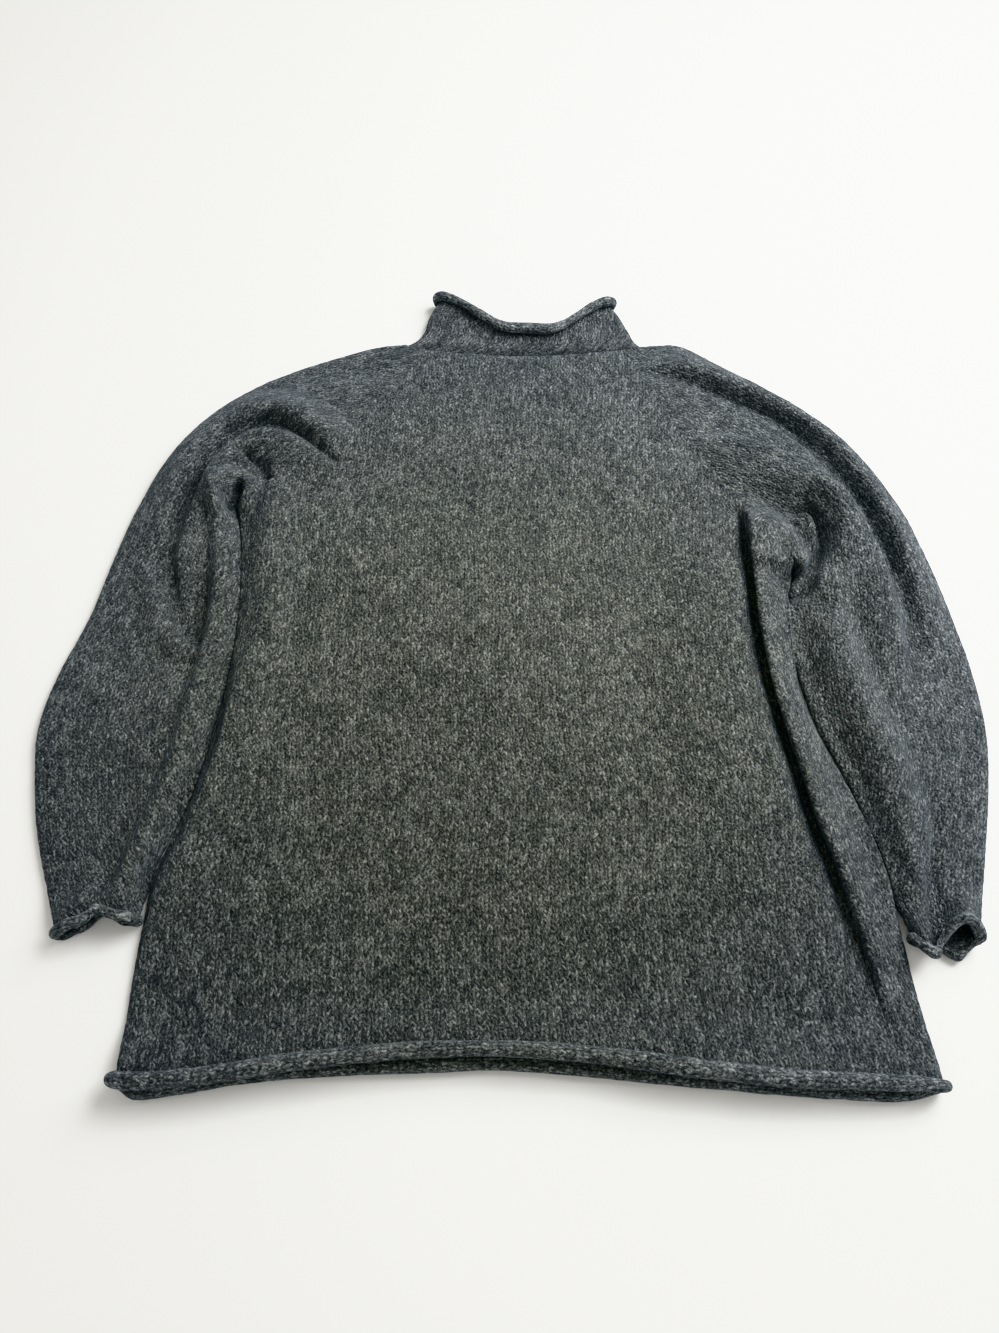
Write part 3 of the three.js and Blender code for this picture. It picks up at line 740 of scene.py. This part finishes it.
# ---------- meshes ----------


def knit(name, points, n, u, v, material, slot, cad_node, closed=False):
    """A closed wall of cloth: two skins half a wall to either side of the grid, and rims between them. Its
    UV map counts stitches across and rows up, and "reverse" is 1 on the skin that shows purl stitches."""
    rows, cols = points.shape[:2]
    along, across = points[..., 0] + points[..., 2], points[..., 1] - points[..., 2]
    ragged = RAGGED["height"] * waves(along, across, RAGGED["length"], RAGGED["seed"])[..., None]
    outer = points + n * (WALL / 2 + ragged)
    inner = points - n * (WALL / 2 + RAGGED["inside"] * ragged)
    verts = np.concatenate([outer.reshape(-1, 3), inner.reshape(-1, 3)])

    def quads(*corners):
        """Faces from the row, column and skin (0 outer, 1 inner) of their four corners."""
        numbers = [(skin * rows + line) * cols + col % cols for line, col, skin in corners]
        return np.stack([np.ravel(number) for number in numbers], axis=1)

    k = np.arange(cols if closed else cols - 1)
    r, c = np.meshgrid(np.arange(rows - 1), k, indexing="ij")
    top = quads((r, c, 0), (r, c + 1, 0), (r + 1, c + 1, 0), (r + 1, c, 0))
    low = quads((r, c, 1), (r + 1, c, 1), (r + 1, c + 1, 1), (r, c + 1, 1))
    end = rows - 1
    ends = [
        quads((0, k, 1), (0, k + 1, 1), (0, k + 1, 0), (0, k, 0)),
        quads((end, k, 0), (end, k + 1, 0), (end, k + 1, 1), (end, k, 1)),
    ]
    if not closed:
        j = np.arange(rows - 1)
        side = cols - 1
        ends.append(quads((j, 0, 0), (j + 1, 0, 0), (j + 1, 0, 1), (j, 0, 1)))
        ends.append(quads((j, side, 1), (j + 1, side, 1), (j + 1, side, 0), (j, side, 0)))
    faces = np.concatenate([top, low, *ends])
    place = (verts - CENTRE) * MM
    a, b, d = (place[faces[:, i]] for i in (0, 1, 2))
    if np.einsum("ij,ij->i", a, np.cross(b, d)).sum() < 0:
        faces = faces[:, ::-1]

    mesh = bpy.data.meshes.new(name)
    mesh.vertices.add(len(place))
    mesh.vertices.foreach_set("co", place.ravel())
    mesh.loops.add(faces.size)
    mesh.loops.foreach_set("vertex_index", faces.ravel())
    mesh.polygons.add(len(faces))
    mesh.polygons.foreach_set("loop_start", np.arange(0, faces.size, 4))
    mesh.update()
    mesh.validate()
    mesh.polygons.foreach_set("use_smooth", np.ones(len(faces), dtype=bool))

    # a tube's last column of faces needs its stitches counted past the seam, not back to 0
    stitch = np.concatenate([np.stack([u, v], axis=2).reshape(-1, 2)] * 2)
    corners = stitch[faces]
    if closed:
        whole = u.max() * cols / (cols - 1)
        wraps = np.ptp(corners[..., 0], axis=1) > whole / 2
        low_side = corners[..., 0] < whole / 2
        corners[..., 0] += whole * (wraps[:, None] & low_side)
    mesh.uv_layers.new(name="stitches").data.foreach_set("uv", corners.ravel())
    reverse = np.concatenate([np.zeros(rows * cols), np.ones(rows * cols)])
    mesh.attributes.new("reverse", "FLOAT", "POINT").data.foreach_set("value", reverse)

    mesh.materials.append(material)
    piece = bpy.data.objects.new(name, mesh)
    bpy.context.scene.collection.objects.link(piece)
    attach(piece, "root")
    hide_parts(cad_node)
    return piece


def body_panel(panel):
    """The front's or the back's grid: sections from the hem to the neck, and the roll of the hem."""
    sizes = GRID[panel]
    front = panel == "front"
    below = UNDERARM * (np.arange(sizes["below"]) / sizes["below"]) ** CROWD_TO_HEM
    at_row = np.concatenate([below, np.linspace(UNDERARM, NECK, sizes["above"])])
    smooth = {name: spline(column, at_row) for name, column in BODY.items()}
    straight = {name: np.interp(at_row, np.arange(NECK + 1), column) for name, column in BODY.items()}
    on_seam = at_row >= UNDERARM
    lx, ly, rx, ry, bow = (np.where(on_seam, straight[c], smooth[c]) for c in "lx ly rx ry bow".split())
    trim = np.where(at_row == NECK, SEAM / 2, 0)
    fold = ease((UNDERARM + FOLD_ROWS["above"] - at_row) / FOLD_ROWS["body"])
    half_seam = SEAM / 2 if front else -SEAM / 2

    def lift(x, y, which):
        return hem_size(x) * roll_lift(HEM_ROLL, y - hem_line(x, which))

    def meet(x, y, inward):
        row = y + hem_line(x, "front") * hem_pull(y)
        return meet_height(x + inward * FOLD_RADIUS, row) + lift(x, row, "front") + half_seam

    def height(x, y, at):
        return (upper_height(x, y) if front else FLOOR_LAYER + 0 * x) + lift(x, y, panel)

    points, _, share = layer(
        np.stack([lx, ly - trim], axis=1),
        np.stack([rx, ry - trim], axis=1),
        fold,
        fold,
        sizes["across"],
        height,
        meet(lx, ly, 1),
        meet(rx, ry, -1),
        bow=lambda at, x: bow[:, None] * arch_at(at) + hem_line(x, panel) * hem_pull(ly)[:, None],
        crowd=CROWD_TO_SIDES,
    )
    if front:
        lean(points, share)
    n = normals(points) * (1 if front else -1)
    middle = points.shape[1] // 2
    across = arcs(points, 1)
    u = (across - across[:, middle : middle + 1]) / stitch_width() + 0.5
    along = arcs(points[:, middle : middle + 1], 0)
    v = along / row_height() + 0 * u
    down = np.array([0.0, -1.0, 0.0])
    size = hem_size(points[0, :, 0])
    rolled, facing, length = roll_rows(points[0], n[0], share[0], HEM_ROLL, down, sizes["roll"], size)
    points = np.concatenate([rolled[::-1], points])
    n = np.concatenate([facing[::-1], n])
    u = np.concatenate([np.repeat(u[:1], len(rolled), axis=0), u])
    v = np.concatenate([-length[::-1] / row_height(), v])
    return points, n, u, v


def sleeve_edges(side):
    """Where a sleeve's sections are, counted in rows from the neck, the row of the underarm, and the
    sections' inner and outer edges (sections, 2). The inner edge follows the body's side, at the room that
    MEET gives."""
    sizes = GRID["sleeve"]
    away = -1 if side == "left" else 1
    side_x, side_y = ("lx", "ly") if side == "left" else ("rx", "ry")
    fine = np.linspace(0, UNDERARM, SIDE_STEPS)
    line_y = spline(BODY[side_y], fine)
    room = np.interp(line_y, MEET[side]["y"], MEET[side]["room"])
    line_x = spline(BODY[side_x], fine) + away * room
    raglan = slice(None, UNDERARM - 1, -1)
    iy = np.concatenate([BODY[side_y][raglan], ARM[side]["iy"]])
    ix = np.concatenate([BODY[side_x][raglan], np.interp(ARM[side]["iy"], line_y, line_x)])
    ox = np.concatenate([SHOULDER[side]["x"], ARM[side]["ox"]])
    oy = np.concatenate([SHOULDER[side]["y"], ARM[side]["oy"]])

    underarm, last = NECK - UNDERARM, len(iy) - 1
    above = np.linspace(0, underarm, sizes["above"])[:-1]
    at_row = np.concatenate([above, np.linspace(underarm, last, sizes["below"])])
    on_seam = at_row <= underarm
    rows = np.arange(last + 1)
    inner_y = np.where(on_seam, np.interp(at_row, rows, iy), spline(iy, at_row))
    inner_x = np.where(on_seam, np.interp(at_row, rows, ix), np.interp(inner_y, line_y, line_x))
    inner = np.stack([inner_x, inner_y], axis=1)
    outer = np.stack([spline(ox, at_row), spline(oy, at_row)], axis=1)
    return at_row, underarm, inner, outer


def sleeve(side):
    """A sleeve's grid: the upper layer from the inner edge to the outer fold, and the lower layer back."""
    sizes = GRID["sleeve"]
    sign = -1 if side == "left" else 1
    at_row, underarm, inner, outer = sleeve_edges(side)
    centre = (inner + outer) / 2
    away = np.linalg.norm(centre[-1] - centre, axis=1)
    outwards = centre[-1] - centre[np.searchsorted(at_row, at_row[-1] - 1)]
    outwards = np.append(outwards / np.linalg.norm(outwards), 0)
    inner[:, 0] += sign * CUFF_ROOM[side] * (1 - ease(away / CUFF_ROLL["run"]))
    lift = roll_lift(CUFF_ROLL, away)
    wave = (1 - ease(away / (WAVE_RUNS * CUFF_ROLL["run"])))[:, None]
    fold = ease((at_row - underarm) / FOLD_ROWS["sleeve"])
    loft = (SLEEVE_LOFT * ease(at_row / LOFT_ROWS))[:, None]
    folded = np.ones(len(at_row))

    def meet_at(edge, other):
        toward = FOLD_RADIUS / np.linalg.norm(other - edge, axis=1)
        return meet_height(*(mix(edge[:, i], other[:, i], toward) for i in (0, 1)))

    meet_inner, meet_outer = meet_at(inner, outer), meet_at(outer, inner)
    upper, at, share = layer(
        inner,
        outer,
        fold,
        folded,
        sizes["across"],
        lambda x, y, at: upper_height(x, y, loft * np.sin(np.pi * np.clip(at, 0, 1)) ** LOFT_POWER),
        meet_inner + SEAM / 2,
        meet_outer,
        lift=lift,
    )
    under, under_at, under_share = layer(
        inner,
        outer,
        fold,
        folded,
        sizes["under"],
        lambda x, y, at: FLOOR_LAYER + 0 * x,
        meet_inner - SEAM / 2,
        meet_outer,
        lift=lift,
    )
    lean(upper, share)
    for points, place, which in ((upper, at, "upper"), (under, under_at, "lower")):
        knots = CUFF_WAVES[side][which]
        points += outwards * (wave * wave_at(knots, "reach", place))[..., None]
        points[..., 2] += wave * wave_at(knots, "rise", place)
    points = np.concatenate([upper, under[:, -2::-1]], axis=1)
    share = np.concatenate([share, under_share[:, -2::-1]], axis=1)
    n = normals(points) * sign * -1
    fold_column = upper.shape[1] - 1
    across = arcs(points, 1)
    u = (across - across[:, fold_column : fold_column + 1]) / stitch_width()
    along = np.concatenate([[0], np.cumsum(np.linalg.norm(np.diff(centre, axis=0), axis=1))])
    v = -along[:, None] / row_height() + 0 * u
    rolled, facing, length = roll_rows(points[-1], n[-1], share[-1], CUFF_ROLL, outwards, sizes["roll"])
    points = np.concatenate([points, rolled])
    n = np.concatenate([n, facing])
    u = np.concatenate([u, np.repeat(u[-1:], len(rolled), axis=0)])
    v = np.concatenate([v, v[-1, 0] - length / row_height()])
    return points, n, u, v


def collar():
    """The collar's grid: a flattened tube from its seam to the edge, and the roll of the neck."""
    sizes = GRID["collar"]
    at_row = np.linspace(0, len(COLLAR["lx"]) - 1, sizes["up"])
    lx, ly, rx, ry, bow, back_bow, rise = (
        spline(COLLAR[c], at_row) for c in "lx ly rx ry bow back_bow rise".split()
    )
    t = (at_row / at_row[-1])[:, None]
    trim = np.where(at_row == 0, SEAM, 0)
    lift = roll_height(NECK_ROLL) * t[:, 0] ** NECK_LIFT
    meet = meet_height((lx + rx) / 2, ly)
    folded = np.ones(len(at_row))
    edges = np.stack([lx, ly + trim], axis=1), np.stack([rx, ry + trim], axis=1), folded, folded

    def dip(at):
        return mix(arch_at(at), neck_dip_at(at), t)

    front, _, share = layer(
        *edges,
        sizes["across"],
        lambda x, y, at: upper_height(x, y) + rise[:, None] * np.sin(np.pi * np.clip(at, 0, 1)),
        meet,
        meet,
        bow=lambda at, x: bow[:, None] * dip(at),
        lift=lift,
    )
    back, _, back_share = layer(
        *edges,
        sizes["across"],
        lambda x, y, at: FLOOR_LAYER + 0 * x,
        meet,
        meet,
        bow=lambda at, x: back_bow[:, None] * dip(at),
        lift=lift,
    )
    points = np.concatenate([front, back[:, -2:0:-1]], axis=1)
    share = np.concatenate([share, back_share[:, -2:0:-1]], axis=1)
    n = normals(points, closed=True)
    u = arcs(points, 1) / stitch_width()
    middle = front.shape[1] // 2
    v = arcs(points[:, middle : middle + 1], 0) / row_height() + 0 * u
    up = np.array([0.0, 1.0, 0.0])
    rolled, facing, length = roll_rows(points[-1], n[-1], share[-1], NECK_ROLL, up, sizes["roll"])
    points = np.concatenate([points, rolled])
    n = np.concatenate([n, facing])
    u = np.concatenate([u, np.repeat(u[-1:], len(rolled), axis=0)])
    v = np.concatenate([v, v[-1, 0] + length / row_height()])
    return points, n, u, v


# ---------- settings ----------


def linear(code):
    """An sRGB hex colour as linear red, green and blue."""
    srgb = [int(code[i : i + 2], 16) / 255 for i in (1, 3, 5)]
    return tuple(c / 12.92 if c <= 0.04045 else ((c + 0.055) / 1.055) ** 2.4 for c in srgb)


def colour_setting(name, description, code):
    """A colour that the user can change, from its sRGB hex code."""
    return FloatVectorProperty(
        name=name, description=description, default=linear(code), subtype="COLOR", min=0, max=1
    )


def length_setting(name, description, default):
    """A length that the user can change, in metres."""
    return FloatProperty(name=name, description=description, default=default, unit="LENGTH", precision=5)


class SweaterKnit(bpy.types.PropertyGroup):
    """Size of the knitting."""

    wale: length_setting("Wale", "Width of one stitch", 6.1 * MM)
    row: length_setting("Row", "Height of one row", 4.3 * MM)
    relief: length_setting("Relief", "Depth between two strands", 0.9 * MM)


class SweaterYarn(bpy.types.PropertyGroup):
    """Colours of the marled yarn, and the tints of the light painted over it."""

    base: colour_setting("Charcoal", "Main ply of the yarn", "#646A67")
    fleck: colour_setting("Fleck", "Light ply of the yarn", "#A9AFAC")
    shade: colour_setting("Shade", "Darkest ply of the yarn", "#212429")
    # painted light: these two tints paint warm light in the middle and cool light further out
    painted_warm_light: colour_setting("Warm tint", "Multiplies the plies where the fleece is warmest", "#FFF9F1")
    painted_cool_light: colour_setting("Cool tint", "Multiplies the plies where the fleece is coolest", "#F3F2FB")
    sheen: colour_setting("Sheen", "Light on the hairs that stand off the cloth", "#CEE5FF")


class SweaterStage(bpy.types.PropertyGroup):
    """Floor, lights and camera."""

    floor: colour_setting("Floor", "Colour of the surface", "#F4F4F2")
    height: length_setting("Camera height", "Above the surface", 0.8004)
    aside: length_setting("Camera aside", "To the left of the sweater's middle", 0.01055)
    before: length_setting("Camera before", "From the sweater's middle towards the hem", 0.38311)
    tilt: FloatProperty(
        name="Camera tilt",
        description="From straight down, towards the neck",
        default=math.radians(24),
        subtype="ANGLE",
    )
    lens: FloatProperty(
        name="Lens", description="Focal length on a 36 mm frame", default=27.05, unit="CAMERA"
    )
    key: FloatProperty(
        name="Window's power", description="Power of the soft light", default=30, unit="POWER"
    )
    window: colour_setting("Window's colour", "Colour of the soft light", "#FDFEFF")
    window_size: length_setting("Window's size", "Side of the square that the soft light comes from", 1.0)
    window_place: FloatVectorProperty(
        name="Window's place",
        description="Middle of that square, to the right of the neck and above",
        default=(0.8, 0.52, 1.0),
        subtype="TRANSLATION",
        unit="LENGTH",
    )
    fill: FloatProperty(name="Room's strength", description="Strength of the light all round", default=0.63)
    room: colour_setting("Room's colour", "Colour of the light all round", "#FFFDF8")


def stitch_width():
    """Width of a stitch, in millimetres."""
    return bpy.context.scene.sweater_knit.wale / MM


def row_height():
    """Height of a row, in millimetres."""
    return bpy.context.scene.sweater_knit.row / MM


# ---------- materials ----------


def node(tree, kind, inputs, out=0, **settings):
    """Adds a shader node and returns one of its outputs: settings are the node's own values, and inputs
    maps an input to a value or to another node's output."""
    made = tree.nodes.new("ShaderNode" + kind)
    for name, value in settings.items():
        setattr(made, name, value)
    for name, value in inputs.items():
        if isinstance(value, bpy.types.NodeSocket):
            tree.links.new(value, made.inputs[name])
        else:
            made.inputs[name].default_value = value
    return made.outputs[out] if made.outputs else made


def strand(tree, across, along):
    """Height of a strand that fills one unit across and one along: a rounded arch each way, 0 at its edges,
    (2 |t|)^STRAND_POWER with t the distance from the nearest edge."""
    arches = []
    for place in (across, along):
        part = node(tree, "Math", {0: place}, operation="FRACT")
        arch = node(tree, "Math", {0: part, 1: 0.5}, operation="PINGPONG")
        whole = node(tree, "Math", {0: arch, 1: 2.0}, operation="MULTIPLY")
        arches.append(node(tree, "Math", {0: whole, 1: STRAND_POWER}, operation="POWER"))
    return node(tree, "Math", {0: arches[0], 1: arches[1]}, operation="MULTIPLY")


def fleece_clouds(tree, place):
    """Clouds of variation in the yarn and in its tension, each spread from the noise's narrow band to the
    whole of 0 to 1, and the same noise as a drift in three directions. Returns both by the cloud's name."""
    clouds, drift = {}, {}
    for cloud, (size, gain) in CLOUDS.items():
        field = {"Vector": place, "Scale": 1 / (size * MM), "Detail": 2.0, "Roughness": 0.6}
        drift[cloud] = node(tree, "TexNoise", field, out="Color")
        value = node(tree, "TexNoise", field)
        band = {"Value": value, "From Min": 0.5 - 0.5 / gain, "From Max": 0.5 + 0.5 / gain}
        clouds[cloud] = node(tree, "MapRange", band)
    return clouds, drift


def stockinette_legs(tree, u, v):
    """Right side: two legs to a stitch, which rise from its middle outwards. Returns the counts of legs
    across and up, and their height."""
    in_stitch = node(tree, "Math", {0: u}, operation="FRACT")
    from_middle = node(tree, "Math", {0: in_stitch, 1: 0.5}, operation="SUBTRACT")
    beside = node(tree, "Math", {0: from_middle}, operation="ABSOLUTE")
    leg_v = node(tree, "Math", {0: beside, 1: -LEG_RISE, 2: v}, operation="MULTIPLY_ADD")
    leg_u = node(tree, "Math", {0: u, 1: 2.0}, operation="MULTIPLY")
    return leg_u, leg_v, strand(tree, leg_u, leg_v)


def purl_bumps(tree, u, v):
    """Reverse: two staggered bumps to a stitch and row, leaning one way and then the other. Returns the
    counts of bumps across and up, and their height."""
    bump_v = node(tree, "Math", {0: v, 1: 2.0}, operation="MULTIPLY")
    line = node(tree, "Math", {0: bump_v}, operation="FLOOR")
    odd = node(tree, "Math", {0: line, 1: 1.0}, operation="PINGPONG")
    way = node(tree, "Math", {0: odd, 1: 0.5}, operation="SUBTRACT")
    in_line = node(tree, "Math", {0: bump_v}, operation="FRACT")
    staggered = node(tree, "Math", {0: odd, 1: 0.5, 2: u}, operation="MULTIPLY_ADD")
    bump_u = node(tree, "Math", {0: way, 1: in_line, 2: staggered}, operation="MULTIPLY_ADD")
    return bump_u, bump_v, strand(tree, bump_u, bump_v)


def colour_mix(tree, share, a, b):
    """Colour a at share 0 and colour b at share 1."""
    return node(tree, "Mix", {"Factor": share, 6: a, 7: b}, out=2, data_type="RGBA")


def marled_plies(tree, cell, clouds, yarn):
    """Colour of the marl: the share of the pale ply drifts along the yarn and from strand to strand."""
    pale = node(tree, "TexWhiteNoise", {"Vector": cell}, out="Value")
    pale = node(tree, "Math", {0: pale, 1: PLY_BY_STRAND}, operation="MULTIPLY")
    for cloud, share in PLY.items():
        pale = node(tree, "Math", {0: clouds[cloud], 1: share, 2: pale}, operation="MULTIPLY_ADD")
    dark, light = (
        node(tree, "MapRange", {"Value": pale, "From Min": start, "From Max": end})
        for start, end in (DARK_PLIES, PALE_PLIES)
    )
    plies = colour_mix(tree, dark, (*yarn.shade, 1), (*yarn.base, 1))
    return colour_mix(tree, light, plies, (*yarn.fleck, 1))


def painted_light_and_shade(tree, plies, place, yarn):
    """The plies' colour where they lie, with light and shade painted into it: painted warm light in the
    middle turns to painted cool light further out, and painted shade makes the wool darker towards the hem."""
    # painted light: a warm tint in the middle that turns to a cool tint further out
    away = node(tree, "VectorMath", {0: place, 1: PAINTED_WARM_LIGHT_AT}, out="Value", operation="DISTANCE")
    band = {"Value": away, "From Min": PAINTED_COOL_LIGHT_SPAN[0], "From Max": PAINTED_COOL_LIGHT_SPAN[1]}
    far = node(tree, "MapRange", band, interpolation_type="SMOOTHSTEP")
    tint = colour_mix(tree, far, (*yarn.painted_warm_light, 1), (*yarn.painted_cool_light, 1))
    tinted = node(tree, "VectorMath", {0: plies, 1: tint}, operation="MULTIPLY")
    # painted shade: the plies are scaled darker towards the hem
    up = node(tree, "SeparateXYZ", {0: place}, out="Y")
    band = {"Value": up, "From Min": PAINTED_HEM_SHADE["from"], "From Max": PAINTED_HEM_SHADE["to"]}
    band["To Min"] = PAINTED_HEM_SHADE["least"]
    painted_shade = node(tree, "MapRange", band, interpolation_type="SMOOTHSTEP")
    return node(tree, "VectorMath", {0: tinted, "Scale": painted_shade}, operation="SCALE")


def wool(name, seed):
    """Marled lambswool: plies twisted and hand-framed in stockinette, about four stitches to the inch.

    It is matt and a little hairy, so it has sheen and no gloss, and light flecks of the pale ply show along
    the strands. The right side shows a V for each stitch and the reverse shows staggered purl bumps."""
    sizes, yarn = bpy.context.scene.sweater_knit, bpy.context.scene.sweater_yarn
    material = bpy.data.materials.get(name) or bpy.data.materials.new(name)
    material.use_nodes = True
    tree = material.node_tree
    tree.nodes.clear()
    place = node(tree, "TexCoord", {}, out="Object")
    clouds, drift = fleece_clouds(tree, place)

    # the count of stitches strays where the hand-framed stitches are uneven
    counted = node(tree, "UVMap", {}, uv_map="stitches")
    for cloud, stray in STRAY.items():
        shift = {0: drift[cloud], 1: stray, 2: counted}
        counted = node(tree, "VectorMath", shift, operation="MULTIPLY_ADD")
    u = node(tree, "SeparateXYZ", {0: counted}, out="X")
    v = node(tree, "SeparateXYZ", {0: counted}, out="Y")

    # the skin that shows picks one of the two sides, with its counts across and up and its height
    reverse = node(tree, "Attribute", {}, out="Fac", attribute_name="reverse")
    side = node(tree, "Math", {0: reverse, 1: 0.5}, operation="GREATER_THAN")
    sides = zip(stockinette_legs(tree, u, v), purl_bumps(tree, u, v))
    across, up, relief = (node(tree, "Mix", {0: side, 2: right, 3: wrong}) for right, wrong in sides)
    for cloud, share in RELIEF.items():
        relief = node(tree, "Math", {0: clouds[cloud], 1: share, 2: relief}, operation="MULTIPLY_ADD")

    column = node(tree, "Math", {0: across}, operation="FLOOR")
    line = node(tree, "Math", {0: up}, operation="FLOOR")
    cell = node(tree, "CombineXYZ", {0: column, 1: line, 2: seed})
    plies = marled_plies(tree, cell, clouds, yarn)
    wide = painted_light_and_shade(tree, plies, place, yarn)
    openness = node(tree, "Mix", {0: side, 2: OPEN["right side"], 3: OPEN["reverse"]})
    lit = node(tree, "Math", {0: relief, 1: openness, 2: OPEN["least"]}, operation="MULTIPLY_ADD")
    surface = node(
        tree,
        "BsdfPrincipled",
        {
            "Base Color": node(tree, "VectorMath", {0: wide, "Scale": lit}, operation="SCALE"),
            "Roughness": 0.92,
            "IOR": 1.54,
            "Specular IOR Level": 0.18,
            "Sheen Weight": 0.14,
            "Sheen Roughness": 0.5,
            "Sheen Tint": (*yarn.sheen, 1),
            "Normal": node(tree, "Bump", {"Height": relief, "Distance": sizes.relief, "Strength": 1.0}),
        },
    )
    node(tree, "OutputMaterial", {"Surface": surface})
    return material


# ---------- operators ----------


def aimed(place):
    """Euler angles that turn a lamp's -Z axis from its place towards the origin."""
    x, y, z = (-value for value in place)
    return (math.atan2(math.hypot(x, y), -z), 0, math.atan2(x, -y) + math.pi)


class SWEATER_OT_stage(bpy.types.Operator):
    """Makes the floor, the soft lights and the camera"""

    bl_idname = "sweater.stage"
    bl_label = "Stage"

    def execute(self, context):
        scene = context.scene
        stage = scene.sweater_stage
        middle = (np.array(CAD_BOX[0]) + np.array(CAD_BOX[1])) / 2

        camera = bpy.data.cameras.new("camera")
        camera.sensor_width = 36
        camera.lens = stage.lens
        view = bpy.data.objects.new("camera", camera)
        view.location = (middle[0] - stage.aside, middle[1] - stage.before, stage.height)
        view.rotation_euler = (stage.tilt, 0, 0)
        scene.collection.objects.link(view)
        scene.camera = view

        reach = 40.0
        square = [(-reach, -reach, 0), (reach, -reach, 0), (reach, reach, 0), (-reach, reach, 0)]
        mesh = bpy.data.meshes.new("floor")
        mesh.from_pydata(square, [], [(0, 1, 2, 3)])
        floor = bpy.data.objects.new("floor", mesh)
        scene.collection.objects.link(floor)
        material = bpy.data.materials.new("White painted board")
        material.use_nodes = True
        shader = material.node_tree.nodes["Principled BSDF"]
        shader.inputs["Base Color"].default_value = (*stage.floor, 1)
        shader.inputs["Roughness"].default_value = 0.9  # a matt paint, with no reflection of the sweater
        mesh.materials.append(material)

        world = bpy.data.worlds.new("room")
        world.use_nodes = True
        background = world.node_tree.nodes["Background"]
        background.inputs["Color"].default_value = (*stage.room, 1)
        background.inputs["Strength"].default_value = stage.fill
        scene.world = world

        lamp = bpy.data.lights.new("window", "AREA")
        lamp.shape = "SQUARE"
        lamp.size = stage.window_size
        lamp.energy = stage.key
        lamp.color = stage.window
        key = bpy.data.objects.new("window", lamp)
        key.location = stage.window_place
        key.rotation_euler = aimed(stage.window_place)
        scene.collection.objects.link(key)
        scene.view_settings.view_transform = "Khronos PBR Neutral"
        return {"FINISHED"}


class SWEATER_OT_body(bpy.types.Operator):
    """Knits the front and the back"""

    bl_idname = "sweater.body"
    bl_label = "Body"

    def execute(self, context):
        material = wool("Marled lambswool, stockinette body", 1.0)
        for panel in ("back", "front"):
            piece = knit(f"{panel}_knit", *body_panel(panel), material, "wool_body", panel)
        return {"FINISHED"}


class SWEATER_OT_sleeves(bpy.types.Operator):
    """Knits the two sleeves"""

    bl_idname = "sweater.sleeves"
    bl_label = "Sleeves"

    def execute(self, context):
        material = wool("Marled lambswool, stockinette sleeves", 2.0)
        for side in ("left", "right"):
            name = f"sleeve_{side}"
            piece = knit(f"{name}_knit", *sleeve(side), material, "wool_sleeves", name)
        return {"FINISHED"}


class SWEATER_OT_collar(bpy.types.Operator):
    """Knits the collar"""

    bl_idname = "sweater.collar"
    bl_label = "Collar"

    def execute(self, context):
        material = wool("Marled lambswool, picked-up collar", 3.0)
        piece = knit("collar_knit", *collar(), material, "wool_collar", "collar", closed=True)
        return {"FINISHED"}


class SWEATER_PT_panel(bpy.types.Panel):
    """Lists the sweater's pieces"""

    bl_idname = "SWEATER_PT_panel"
    bl_label = "Sweater"
    bl_space_type = "VIEW_3D"
    bl_region_type = "UI"
    bl_category = "Sweater"

    def draw(self, context):
        for operator in OPERATORS:
            self.layout.operator(operator.bl_idname)
        for group in SETTINGS:
            box = self.layout.box()
            for name in SETTINGS[group].__annotations__:
                box.prop(getattr(context.scene, group), name)


OPERATORS = (SWEATER_OT_stage, SWEATER_OT_body, SWEATER_OT_sleeves, SWEATER_OT_collar)
SETTINGS = {"sweater_knit": SweaterKnit, "sweater_yarn": SweaterYarn, "sweater_stage": SweaterStage}


def register():
    for cls in (*SETTINGS.values(), *OPERATORS, SWEATER_PT_panel):
        bpy.utils.register_class(cls)
    for name, group in SETTINGS.items():
        setattr(bpy.types.Scene, name, PointerProperty(type=group))


def unregister():
    for name in SETTINGS:
        delattr(bpy.types.Scene, name)
    for cls in (SWEATER_PT_panel, *reversed(OPERATORS), *SETTINGS.values()):
        bpy.utils.unregister_class(cls)


def main():
    register()
    bpy.ops.sweater.stage()
    bpy.ops.sweater.body()
    bpy.ops.sweater.sleeves()
    bpy.ops.sweater.collar()


if __name__ == "__main__":
    main()
